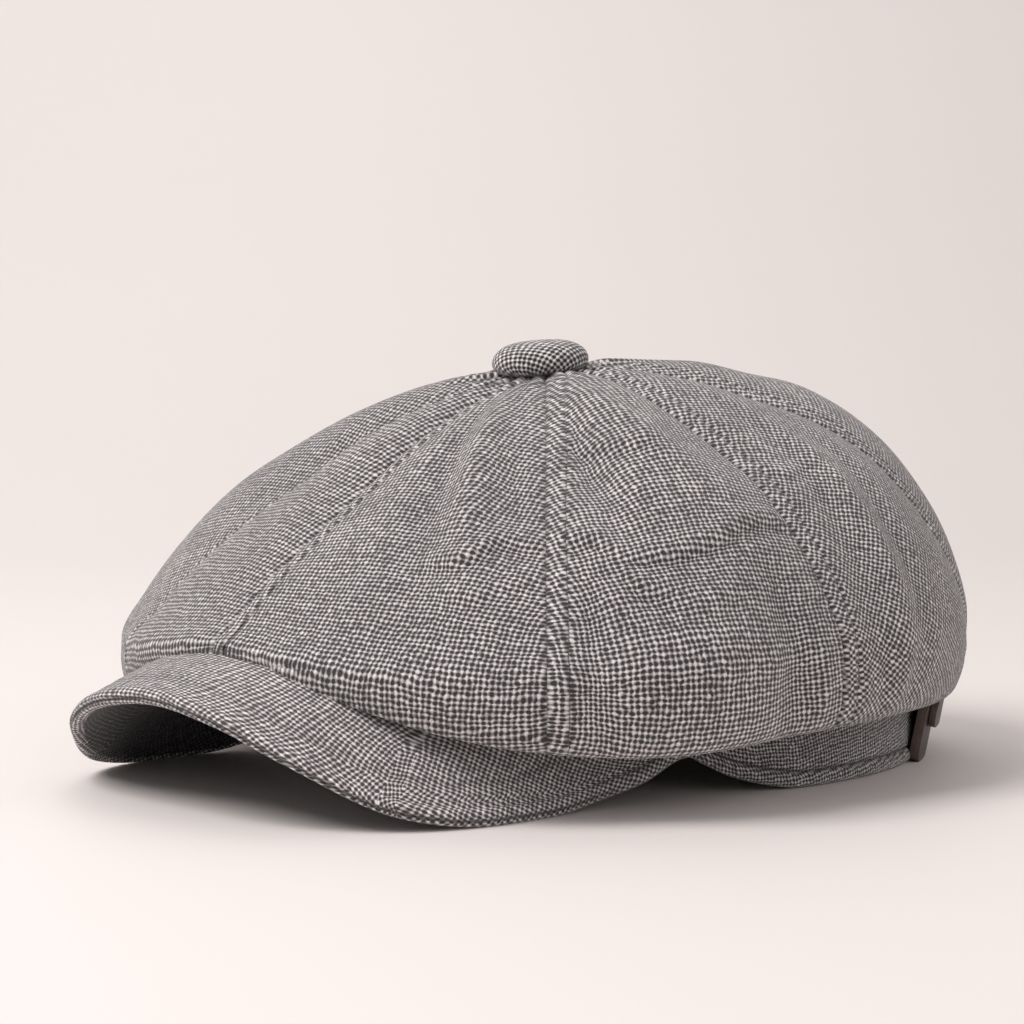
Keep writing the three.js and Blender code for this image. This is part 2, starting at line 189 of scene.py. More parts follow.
def running(steps: np.ndarray, axis: int = 0) -> np.ndarray:
    """Running sum of steps along an axis, starting from nothing."""
    return np.insert(np.cumsum(steps, axis=axis), 0, 0, axis=axis)


def even_knots(rows: np.ndarray, size: float) -> np.ndarray:
    """Picks rows of points that lie about a given distance apart.

    Args:
        rows: the rows of points.
        size: how far apart the picked rows are to lie.

    Returns:
        The indexes of the picked rows, the first and the last among them.
    """
    apart = np.mean(np.linalg.norm(np.diff(rows, axis=0), axis=-1), axis=-1)
    lengths = running(apart)
    count = max(3, int(lengths[-1] / size) + 1)
    places = np.linspace(0, lengths[-1], count)
    return np.unique(np.interp(places, lengths, np.arange(len(lengths))).round().astype(int))


def fill_between(coarse: np.ndarray, rows: np.ndarray, columns: np.ndarray) -> np.ndarray:
    """Fills in a field that is known only at some rows and columns.

    Args:
        coarse: the field there.
        rows: the indexes of those rows.
        columns: the indexes of those columns.

    Returns:
        The field at every row and column, in straight steps between the known ones.
    """
    filled = coarse
    for axis, knots in enumerate((rows, columns)):
        places = np.interp(np.arange(knots[-1] + 1), knots, np.arange(len(knots)))
        low = np.minimum(places.astype(int), len(knots) - 2)
        part = (places - low).reshape((-1, 1, 1) if axis == 0 else (1, -1, 1))
        filled = np.take(filled, low, axis) * (1 - part) + np.take(filled, low + 1, axis) * part
    return filled


@dataclass(frozen=True)
class BandShape:
    """The headband's sizes: an upright ellipse that stands on its rear and arches up over the peak."""

    head_length: float = 197
    head_width: float = 179
    thickness: float = 2.4
    height: float = 30
    setback: float = 25
    front_lift: float = 43
    arch: Curve = Curve(
        (0, 20, 40, 54, 60, 68, 76, 85, 130, 180), (1, 0.93, 0.66, 0.39, 0.28, 0.13, 0.045, 0, 0, 0)
    )

    def half_sizes(self, clearance: float) -> tuple[float, float]:
        """Half the outer width and length, with a clearance all round."""
        return (
            self.head_width / 2 + self.thickness + clearance,
            self.head_length / 2 + self.thickness + clearance,
        )

    def radius(self, angle: np.ndarray, clearance: np.ndarray | float) -> np.ndarray:
        """Works out how far the headband reaches from its own middle.

        Args:
            angle: angles round that middle.
            clearance: distance kept from the cloth, in millimetres.

        Returns:
            The distances to its outside.
        """
        half_width, half_length = self.half_sizes(0)
        direction = outward(angle)
        across = direction[..., 0] / (half_width + clearance)
        return 1 / np.hypot(across, direction[..., 1] / (half_length + clearance))

    def radius_from_crown(self, angle: np.ndarray, clearance: float) -> np.ndarray:
        """Works out how far the headband reaches from the crown's axis.

        Args:
            angle: angles round the axis.
            clearance: distance kept from the cloth, in millimetres.

        Returns:
            The distances to its outside.
        """
        half_width, half_length = self.half_sizes(clearance)
        direction = outward(angle)
        across, along = direction[..., 0] / half_width, direction[..., 1] / half_length
        offset = self.setback / half_length
        squared = across**2 + along**2
        middle = along * offset
        return (middle + np.sqrt(middle**2 + squared * (1 - offset**2))) / squared

    def point(self, angle: np.ndarray, radius: np.ndarray, height: np.ndarray) -> np.ndarray:
        """Places points round the headband's middle.

        Args:
            angle: their angles.
            radius: their distances from the middle.
            height: their heights above the floor.

        Returns:
            The points, measured from the crown's axis.
        """
        point = outward(angle) * np.asarray(radius)[..., None]
        point[..., 1] += self.setback
        point[..., 2] = height
        return point

    def bottom(self, angle: np.ndarray) -> np.ndarray:
        """Height of the headband's lower edge."""
        turned = angle % 360
        return self.front_lift * self.arch.at(np.minimum(turned, 360 - turned))


@dataclass(frozen=True)
class PeakShape:
    """The peak's sizes: from the headband out and down to an arched lip."""

    band: BandShape
    thickness: float = 4
    length: float = 72
    half_span: float = 60
    arch_height: float = 29.5
    swell: float = 3
    fall_power: float = 1.4
    lip_share: float = 0.4
    root_gap: float = 0.3
    reach: Curve = Curve(
        (0, 0.15, 0.27, 0.4, 0.48, 0.56, 0.65, 0.75, 0.86, 1),
        (1, 1.02, 1, 0.89, 0.79, 0.635, 0.415, 0.225, 0.13, 0.04),
    )
    lip: Curve = Curve(
        (0, 0.15, 0.27, 0.4, 0.48, 0.56, 0.65, 0.75, 0.86, 1),
        (1, 0.88, 0.6, 0.2, 0.06, 0, 0, 0.08, 0.2, 0.4),
    )

    def reach_at(self, angle: np.ndarray) -> np.ndarray:
        """How far the peak reaches out from the headband."""
        return self.length * self.reach.at(np.abs(angle) / self.half_span)

    def lip_bottom(self, angle: np.ndarray) -> np.ndarray:
        """Height of the lip's underside."""
        return self.arch_height * self.lip.at(np.abs(angle) / self.half_span)

    def top_height(self, angle: np.ndarray, out: np.ndarray) -> np.ndarray:
        """Works out the height of the solid's top.

        Args:
            angle: angles round the headband.
            out: shares of the way out to the lip.

        Returns:
            The heights above the floor.
        """
        root = self.band.bottom(angle) + self.thickness
        lip = self.lip_bottom(angle) + self.thickness * self.lip_share
        return root + out**self.fall_power * (lip - root) + self.swell * np.sin(np.pi * out)

    def height_under(self, point: np.ndarray) -> np.ndarray:
        """Finds the peak's top under points of the crown.

        Args:
            point: the points.

        Returns:
            The heights, far below the floor where the peak doesn't reach.
        """
        x, y = point[..., 0], point[..., 1] - self.band.setback
        angle = np.degrees(np.arctan2(x, -y))
        out = (np.hypot(x, y) - self.band.radius(angle, self.root_gap)) / self.reach_at(angle)
        height = self.top_height(angle, np.clip(out, 0, 1))
        return np.where(np.abs(angle) > self.half_span, -100.0, height)


@dataclass(frozen=True)
class CrownShape:
    """The crown's sizes: eight slack panels from the button out, down and back in to the headband.

    The upper part goes by steps, as shares of the way from the button: the reach rows give how far out it is
    and the rise rows how high. The lower part goes by under_steps: drop, inset, inward and tuck bring it down
    to the lip and in to the headband. The droop rows give, at droop_angles, the heights of the widest part
    and of the lip, and where the lip stops above the strap instead.
    """

    band: BandShape
    peak: PeakShape
    width: float = 244
    front_reach: float = 126
    rear_reach: float = 135
    corner_swell: float = 5
    top_height: float = 116.5
    widest_height: float = 42
    stem_radius: float = 5
    overlap: float = 2
    lip_clearance: float = 0.75
    strap_top: float = 21.1
    thickness: float = 1.6
    seam_depth: float = 5
    sewn_gap: float = 0.3
    widest_along: float = 0.78
    shoulder_along: float = 0.6
    rest_along: float = 0.7
    seam_end_along: float = 0.95
    fall_slope: float = 8.3
    rest_softness: float = 0.5
    lip_roll: float = 1.7
    lip_gap: float = 0.35
    fold_along: float = 0.5
    fold_depth: float = 14
    steps: tuple[float, ...] = (0, 0.1, 0.2, 0.3, 0.4, 0.5, 0.6, 0.7, 0.78)
    reach_front: tuple[float, ...] = (0, 0.126, 0.277, 0.43, 0.57, 0.7, 0.826, 0.932, 1)
    reach_side: tuple[float, ...] = (0, 0.134, 0.303, 0.462, 0.611, 0.745, 0.859, 0.948, 1)
    reach_rear: tuple[float, ...] = (0, 0.142, 0.329, 0.494, 0.653, 0.793, 0.892, 0.962, 1)
    rise_front: tuple[float, ...] = (1, 0.95, 0.865, 0.742, 0.585, 0.43, 0.262, 0.096, 0)
    rise_side: tuple[float, ...] = (1, 1.01, 0.96, 0.865, 0.74, 0.604, 0.414, 0.21, 0)
    rise_rear: tuple[float, ...] = (1, 1.06, 1.06, 1.01, 0.95, 0.78, 0.566, 0.322, 0)
    under_steps: tuple[float, ...] = (0.78, 0.84, 0.89, 0.92, 0.96, 1)
    drop: tuple[float, ...] = (0, 0.5, 0.88, 1, 1, 1)
    inset: tuple[float, ...] = (0, 0.04, 0.17, 0.34, 0.34, 0.34)
    inward: tuple[float, ...] = (0, 0, 0, 0.04, 0.5, 1)
    tuck: tuple[float, ...] = (0, 0, 0, 0, 0.3, 1)
    droop_angles: tuple[float, ...] = (0, 20, 35, 47, 62, 85, 110, 132, 180)
    droop_widest: tuple[float, ...] = (1.05, 0.95, 0.9, 0.9, 0.95, 1, 1.04, 1.08, 1.08)
    droop_lip: tuple[float, ...] = (0.97, 0.8, 0.6, 0.5, 0.45, 0.52, 0.55, 0.55, 0.55)
    droop_strap: tuple[float, ...] = (0, 0, 0, 0, 0, 0, 0, 1, 1)
    folds: tuple[Fold, ...] = (
        Fold(32, 0.42, 4, 0.2, 4, 0.7),
        Fold(24, 0.45, 5, 0.2, 4, -0.55),
        Fold(40, 0.4, 3.5, 0.16, 2, -0.3),
        Fold(57, 0.42, 4, 0.14, 2, -0.95),
        Fold(71, 0.36, 6, 0.14, 6, 0.5),
        Fold(66, 0.66, 8, 0.04, -4, -0.35),
        Fold(53, 0.74, 3.0, 0.12, 0, -0.75),
        Fold(68, 0.77, 6.5, 0.1, 0, 0.65),
        Fold(81, 0.78, 3.6, 0.11, 0, -0.8),
        Fold(100, 0.6, 3, 0.2, -5, -0.35),
        Fold(106, 0.6, 2.5, 0.22, -5, 0.35),
        Fold(112, 0.62, 2.5, 0.2, -6, -0.35),
        Fold(86, 0.83, 1.2, 0.05, 0, 0.14),
        Fold(94, 0.84, 1.3, 0.06, 0, 0.16),
        Fold(98, 0.83, 1.1, 0.05, 0, -0.16),
        Fold(102, 0.84, 1.4, 0.05, 0, 0.14),
        Fold(308, 0.55, 12, 0.25, 0, 0.6),
        Fold(250, 0.45, 5, 0.2, 6, -0.5),
        Fold(204, 0.4, 5, 0.2, -6, 0.4),
    )

    def widest_radius(self, angle: np.ndarray) -> np.ndarray:
        """Works out how far the crown reaches at its widest part.

        Args:
            angle: places round the crown.

        Returns:
            The distances from the crown's axis.
        """
        direction = outward(angle)
        front = direction[..., 1] < 0
        lengthwise = np.where(front, self.front_reach, self.rear_reach)
        corner = np.where(front, np.sin(2 * np.radians(angle)) ** 2, 0)
        plain = 1 / np.hypot(direction[..., 0] / (self.width / 2), direction[..., 1] / lengthwise)
        return plain + self.corner_swell * corner

    def around(
        self, angle: np.ndarray, along: np.ndarray, columns: tuple, last: np.ndarray = 0.0
    ) -> np.ndarray:
        """Blends a front, a side and a rear profile round the crown.

        Args:
            angle: places round the crown.
            along: shares of the way out from the button.
            columns: the three profiles' values at the steps.
            last: slope at the last step.

        Returns:
            The blended value at each place.
        """
        direction = outward(angle)
        side_share = direction[..., 0] ** 2
        front, side, rear = (Curve(self.steps, column).at(along, last=last) for column in columns)
        end = np.where(direction[..., 1] < 0, front, rear)
        return side * side_share + end * (1 - side_share)

    def plain_point(self, angle: np.ndarray, along: np.ndarray) -> np.ndarray:
        """Places points on the crown without its seams or folds.

        Args:
            angle: places round the crown.
            along: shares of the way out from the button.

        Returns:
            The points, measured from the crown's axis.
        """
        turned = angle % 360
        folded = np.minimum(turned, 360 - turned)
        widest = self.widest_radius(angle)
        widest_height = self.widest_height * Curve(self.droop_angles, self.droop_widest).at(folded)
        plain_lip = self.widest_height * Curve(self.droop_angles, self.droop_lip).at(folded)
        strap_share = Curve(self.droop_angles, self.droop_strap).at(folded)
        lip_height = plain_lip + strap_share * (self.strap_top + self.lip_clearance - plain_lip)
        upper = np.minimum(along, self.widest_along)
        steepness = self.fall_slope * (widest_height - lip_height) / (self.top_height - widest_height)
        reach = self.around(angle, upper, (self.reach_front, self.reach_side, self.reach_rear))
        rise = self.around(angle, upper, (self.rise_front, self.rise_side, self.rise_rear), -steepness)
        radius = self.stem_radius + reach * (widest - self.stem_radius)
        height = widest_height + rise * (self.top_height - widest_height)
        sewn_radius = self.band.radius_from_crown(angle, self.sewn_gap + self.thickness)
        sewn_height = self.band.bottom(angle) + self.band.height - self.overlap
        drop = Curve(self.under_steps, self.drop).at(along, first=self.fall_slope)
        inset, inward, tuck = (
            Curve(self.under_steps, column).at(along) for column in (self.inset, self.inward, self.tuck)
        )
        lip_radius = widest - inset * (widest_height - lip_height)
        under_radius = lip_radius + inward * (sewn_radius - lip_radius)
        fall = drop * (lip_height - widest_height) + tuck * (sewn_height - lip_height)
        below = along > self.widest_along
        point = outward(angle) * np.where(below, under_radius, radius)[..., None]
        point[..., 2] = np.where(below, widest_height + fall, height)
        return point

    def seam_relief(self, angle: np.ndarray, along: np.ndarray, start: float, end: float) -> np.ndarray:
        """Depth by which the cloth sinks from a panel's middle towards its two seams."""
        across = 2 * angle_between(angle, (start + end) / 2) / (end - start)
        return -(across**2) * np.sin(np.pi * np.minimum(along / self.seam_end_along, 1))

    def lifted(
        self, angle: np.ndarray, along: np.ndarray, relief: np.ndarray, resting: bool = True
    ) -> np.ndarray:
        """Pushes points of the crown out of its plain surface.

        Args:
            angle: places round the crown.
            along: shares of the way out from the button.
            relief: how far out of the plain crown each point is pushed, in millimetres.
            resting: whether the lower part then rests on the peak.

        Returns:
            The points.
        """
        point = self.plain_point(angle, along)
        up_share = np.maximum(0, 1 - along / self.shoulder_along)
        lift = outward(angle) * (1 - up_share)[..., None]
        lift[..., 2] = up_share
        lift /= np.linalg.norm(lift, axis=-1, keepdims=True)
        point += lift * relief[..., None]
        if not resting:
            return point
        return np.where((along > self.rest_along)[..., None], self.settled(point), point)

    def folded_under(self, points: np.ndarray, free: np.ndarray, along: np.ndarray) -> np.ndarray:
        """Rolls the crown's lip under where it comes down onto the peak.

        Args:
            points: the crown's points, in rows from the button down, resting on the peak.
            free: the same points before they rest on it.
            along: the share of the way down of each row.

        Returns:
            The points, with those past the lip drawn inward over the peak.
        """
        gap = free[..., 2] - self.peak.height_under(free) - self.lip_gap
        low = (gap < self.lip_roll) & (along > self.fold_along)[:, None]
        first = np.maximum(np.argmax(low, axis=0), 1)
        columns = np.arange(points.shape[1])
        above, below = gap[first - 1, columns], gap[first, columns]
        part = np.clip((above - self.lip_roll) / np.maximum(above - below, TINY), 0, 1)
        start = free[first - 1, columns] * (1 - part)[:, None] + free[first, columns] * part[:, None]
        steps = np.linalg.norm(np.diff(free, axis=0), axis=-1)
        lengths = running(steps)
        before = lengths[first - 1, columns] + part * steps[first - 1, columns]
        past = np.maximum(lengths - before, 0)
        turn = np.minimum(past / self.lip_roll, np.pi / 2)
        inward = self.lip_roll * (1 - np.cos(turn)) + np.maximum(past - self.lip_roll * np.pi / 2, 0)
        aside = start[:, :2] / np.linalg.norm(start[:, :2], axis=-1, keepdims=True)
        rolled = np.repeat(start[None], len(points), axis=0)
        rolled[..., :2] -= aside[None] * np.minimum(inward, self.fold_depth)[..., None]
        rest = self.peak.height_under(rolled) + self.lip_gap
        rolled[..., 2] = np.maximum(rest, 0) + self.lip_roll * (1 - np.sin(turn))
        depth = self.lip_roll - np.min(np.where(low, gap, self.lip_roll), axis=0)
        share = ramp(depth, 0, self.lip_roll)[None] * (past > 0) * (1 - ramp(along, 0.9, 0.97))[:, None]
        return points + (rolled - points) * share[..., None]

    def settled(self, point: np.ndarray) -> np.ndarray:
        """Raises points of the crown to where they rest on the peak.

        Args:
            point: the points.

        Returns:
            The points, none of them lower than the peak's top.
        """
        rest = self.peak.height_under(point) + self.sewn_gap
        gap = point[..., 2] - rest
        raised = point.copy()
        raised[..., 2] = (point[..., 2] + rest + np.hypot(gap, self.rest_softness)) / 2
        return raised


def put_in_scene(name: str, data: bpy.types.ID) -> bpy.types.Object:
    """Makes an object of a mesh, light or camera, in the scene.

    Args:
        name: the object's name.
        data: what it shows.

    Returns:
        The object, at the origin.
    """
    made = bpy.data.objects.new(name, data)
    bpy.context.scene.collection.objects.link(made)
    return made


class MeshMaker:
    """Makes the cap's meshes, in metres in the row frame, round the crown's axis.

    The value push is the share of a wrong length by which each step moves either end of it.
    """

    push = 0.24

    def __init__(self, axis: Vector) -> None:
        """Keeps the place of the crown's axis on the floor, in metres."""
        self.axis = axis

    def grid(self, columns: int, rows: int) -> tuple[bmesh.types.BMesh, np.ndarray, np.ndarray]:
        """Starts a sheet.

        Args:
            columns: squares across it.
            rows: squares down it.

        Returns:
            The sheet, and the two shares of each vertex: across from 0 to 1, and down from 0 to 1.
        """
        sheet = bmesh.new()
        bmesh.ops.create_grid(sheet, x_segments=columns, y_segments=rows, size=0.5)
        places = np.array([vertex.co[:] for vertex in sheet.verts])
        return sheet, places[:, 0] + 0.5, 0.5 - places[:, 1]

    def place(self, shape: bmesh.types.BMesh, points: np.ndarray) -> None:
        """Moves the vertices to points round the crown's axis, in millimetres."""
        for vertex, point in zip(shape.verts, points * MM):
            vertex.co = Vector(point) + self.axis

    def in_rows(self, across: np.ndarray, down: np.ndarray) -> tuple[np.ndarray, int]:
        """Order that puts a sheet's vertices in rows, and how many stand in each row."""
        order = np.lexsort((across.round(6), down.round(6)))
        return order, int(np.sum(np.abs(down - down[order[0]]) < TINY))

    def row_lengths(self, across: np.ndarray, down: np.ndarray, points: np.ndarray) -> np.ndarray:
        """Length of cloth between each point of a sheet and the middle of its row.

        Args:
            across: each vertex's share across the sheet.
            down: its share down the sheet.
            points: its place.

        Returns:
            The lengths, below zero on the first half of each row.
        """
        order, columns = self.in_rows(across, down)
        rows = points[order].reshape(-1, columns, 3)
        steps = np.linalg.norm(np.diff(rows, axis=1), axis=2)
        lengths = running(steps, 1)
        lengths -= lengths[:, [columns // 2]]
        found = np.empty(len(points))
        found[order] = lengths.reshape(-1)
        return found

    def lay_flat(
        self, across: np.ndarray, down: np.ndarray, points: np.ndarray, guess: np.ndarray,
        levels: tuple[tuple[float, int], ...] = ((9, 500), (4, 250), (1.8, 250)),
    ) -> np.ndarray:
        """Lays a sheet out flat, as cloth that keeps its lengths as far as it can.

        Args:
            across: each vertex's share across the sheet.
            down: its share down the sheet.
            points: its place on the cap.
            guess: a first flat place of each vertex.
            levels: for each pass, how far apart its knots lie and how often they are moved.

        Returns:
            The flat places, in the same order.
        """
        order, columns = self.in_rows(across, down)
        solid = points[order].reshape(-1, columns, 3)
        flat = guess[order].reshape(-1, columns, 2).copy()
        for size, rounds in levels:
            rows, aside = even_knots(solid, size), even_knots(solid.swapaxes(0, 1), size)
            chosen = np.ix_(rows, aside)
            moved = self.relax(self.cloth_lengths(solid, rows, aside), flat[chosen], rounds)
            flat += fill_between(moved - flat[chosen], rows, aside)
        found = np.empty_like(guess)
        found[order] = flat.reshape(-1, 2)
        return found

    def cloth_lengths(self, solid: np.ndarray, rows: np.ndarray, columns: np.ndarray) -> list[tuple]:
        """Lengths of cloth between the knots of a sheet, measured along the sheet and not straight across.

        Args:
            solid: the sheet's points, in rows.
            rows: indexes of the knots' rows.
            columns: indexes of their columns.

        Returns:
            For each kind of neighbour, the rows and columns between the two, and the lengths.
        """
        chosen = np.ix_(rows, columns)
        run_down = running(np.linalg.norm(np.diff(solid, axis=0), axis=-1))[chosen]
        run_aside = running(np.linalg.norm(np.diff(solid, axis=1), axis=-1), 1)[chosen]
        down, aside = np.diff(run_down, axis=0), np.diff(run_aside, axis=1)
        knots = solid[chosen]
        way_down, way_aside = np.diff(knots, axis=0), np.diff(knots, axis=1)
        way_down *= (down / np.maximum(np.linalg.norm(way_down, axis=-1), TINY))[..., None]
        way_aside *= (aside / np.maximum(np.linalg.norm(way_aside, axis=-1), TINY))[..., None]
        forward = np.linalg.norm(way_down[:, :-1] + way_aside[1:], axis=-1)
        backward = np.linalg.norm(way_down[:, 1:] - way_aside[1:], axis=-1)
        return [(0, 1, aside), (1, 0, down), (1, 1, forward), (1, -1, backward)]

    def relax(self, lengths: list[tuple], flat: np.ndarray, rounds: int) -> np.ndarray:
        """Moves flat places until each is as far from its neighbours as the cloth between them is long.

        Args:
            lengths: what cloth_lengths found.
            flat: the flat places, which are moved.
            rounds: how often all of them are moved.

        Returns:
            The flat places.
        """
        pairs = []
        for rows, columns, length in lengths:
            left, right = max(0, -columns), max(0, columns)
            first = (slice(0, len(flat) - rows), slice(left, flat.shape[1] - right))
            second = (slice(rows, None), slice(right, flat.shape[1] - left))
            pairs.append((first, second, length))
        for _ in range(rounds):
            for first, second, length in pairs:
                apart = flat[second] - flat[first]
                found = np.maximum(np.linalg.norm(apart, axis=-1), TINY)
                push = self.push * apart * (1 - length / found)[..., None]
                flat[first] += push
                flat[second] -= push
        return flat

    def lay_weave(self, shape: bmesh.types.BMesh, weave: np.ndarray) -> None:
        """Gives the sheet its own UV map, in millimetres of cloth.

        Args:
            shape: the sheet.
            weave: each vertex's place in the flat cloth.
        """
        layer = shape.loops.layers.uv.new("weave")
        for face in shape.faces:
            for loop in face.loops:
                loop[layer].uv = weave[loop.vert.index]

    def mark(self, shape: bmesh.types.BMesh, name: str, values: np.ndarray) -> None:
        """Stores a value for each vertex, for the materials to read.

        Args:
            shape: the mesh.
            name: the attribute's name.
            values: the values.
        """
        layer = shape.verts.layers.float.new(name)
        for vertex, value in zip(shape.verts, values):
            vertex[layer] = float(value)

    def finish(self, shape: bmesh.types.BMesh, name: str, slot: Slot, materials: list) -> bpy.types.Object:
        """Turns a shape into a smooth piece of the cap that rides on its body.

        Args:
            shape: the shape, which is used up.
            name: the piece's name.
            slot: the record's material slot, which is not used.
            materials: its materials.

        Returns:
            The piece.
        """
        mesh = bpy.data.meshes.new(name)
        shape.to_mesh(mesh)
        shape.free()
        for material in materials:
            mesh.materials.append(material)
        mesh.shade_smooth()
        piece = put_in_scene(name, mesh)
        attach(piece, BODY)
        LOG.info("%s: %d faces", name, len(mesh.polygons))
        return piece


def settle(piece: bpy.types.Object) -> None:
    """Applies a piece's modifiers, so that its mesh is the finished one.

    Args:
        piece: the piece, which gets a new mesh.
    """
    graph = bpy.context.evaluated_depsgraph_get()
    graph.update()
    evaluated = piece.evaluated_get(graph)
    finished = bpy.data.meshes.new_from_object(evaluated, preserve_all_data_layers=True, depsgraph=graph)
    piece.modifiers.clear()
    piece.data = finished
    LOG.info("%s: %d faces with its thickness", piece.name, len(finished.polygons))


class Nodes:
    """Builds one node tree, with short calls for the nodes that the finishes share."""

    def __init__(self, tree: bpy.types.NodeTree) -> None:
        """Starts from an empty tree."""
        self.tree = tree
        tree.nodes.clear()

    def add(self, kind: str, inputs: dict | None = None, **settings: object) -> bpy.types.Node:
        """Adds a node, sets it up and links or sets its inputs.

        Args:
            kind: the node's type, without its ShaderNode prefix.
            inputs: for each input's name or number, a socket to link or a value to set.
            **settings: the node's own properties.

        Returns:
            The node.
        """
        prefix = "" if kind.startswith("NodeGroup") else "ShaderNode"
        node = self.tree.nodes.new(prefix + kind)
        for name, value in settings.items():
            setattr(node, name, value)
        for name, value in (inputs or {}).items():
            self.feed(node.inputs[name], value)
        return node

    def feed(self, socket: bpy.types.NodeSocket, value: object) -> None:
        """Links a socket, or sets its value.

        Args:
            socket: the input.
            value: the output to link to it, or the value to set.
        """
        if isinstance(value, bpy.types.NodeSocket):
            self.tree.links.new(value, socket)
        else:
            socket.default_value = value

    def math(self, operation: str, *values: object, clamp: bool = False) -> bpy.types.NodeSocket:
        """One step of arithmetic on sockets or numbers."""
        inputs = dict(enumerate(values))
        return self.add("Math", inputs, operation=operation, use_clamp=clamp).outputs[0]

    def vector(self, operation: str, first: object, second: object) -> bpy.types.NodeSocket:
        """One step of arithmetic on two vectors."""
        return self.add("VectorMath", {0: first, 1: second}, operation=operation).outputs[0]

    def scaled(self, vector: object, size: object) -> bpy.types.NodeSocket:
        """A vector made longer or shorter."""
        return self.add("VectorMath", {0: vector, "Scale": size}, operation="SCALE").outputs[0]

    def noise(self, vector: object, scale: float, detail: float = 2.0) -> bpy.types.Node:
        """Soft noise over a vector."""
        return self.add("TexNoise", {"Vector": vector, "Scale": scale, "Detail": detail})

    def mix(self, share: object, first: object, second: object, blend: str = "MIX") -> bpy.types.NodeSocket:
        """Mixes two colours.

        Args:
            share: how much of the second there is.
            first: the first colour.
            second: the second colour.
            blend: the way of mixing.

        Returns:
            The mixed colour.
        """
        node = self.add("Mix", data_type="RGBA", blend_type=blend, clamp_factor=True)
        self.feed(node.inputs[0], share)
        self.feed(node.inputs[6], first)
        self.feed(node.inputs[7], second)
        return node.outputs[2]

    def shade(self, inputs: dict) -> None:
        """Adds the shader with its inputs, and links it to the material's output."""
        shader = self.add("BsdfPrincipled", inputs)
        self.add("OutputMaterial", {"Surface": shader.outputs[0]})


def new_material(name: str) -> tuple[bpy.types.Material, Nodes]:
    """Starts an empty material.

    Args:
        name: the material's name.

    Returns:
        The material, and the means to fill its node tree.
    """
    material = bpy.data.materials.new(name)
    material.use_nodes = True
    return material, Nodes(material.node_tree)


def new_group(
    name: str, inputs: dict[str, tuple[str, object]], outputs: dict[str, str]
) -> bpy.types.NodeTree:
    """Makes an empty shader node group with named sockets.

    Args:
        name: the group's name.
        inputs: socket type and default of each input.
        outputs: socket type of each output.

    Returns:
        The group's node tree.
    """
    group = bpy.data.node_groups.new(name, "ShaderNodeTree")
    for label, (kind, default) in inputs.items():
        socket = group.interface.new_socket(label, in_out="INPUT", socket_type=kind)
        if default is not None:
            socket.default_value = default
    for label, kind in outputs.items():
        group.interface.new_socket(label, in_out="OUTPUT", socket_type=kind)
    return group


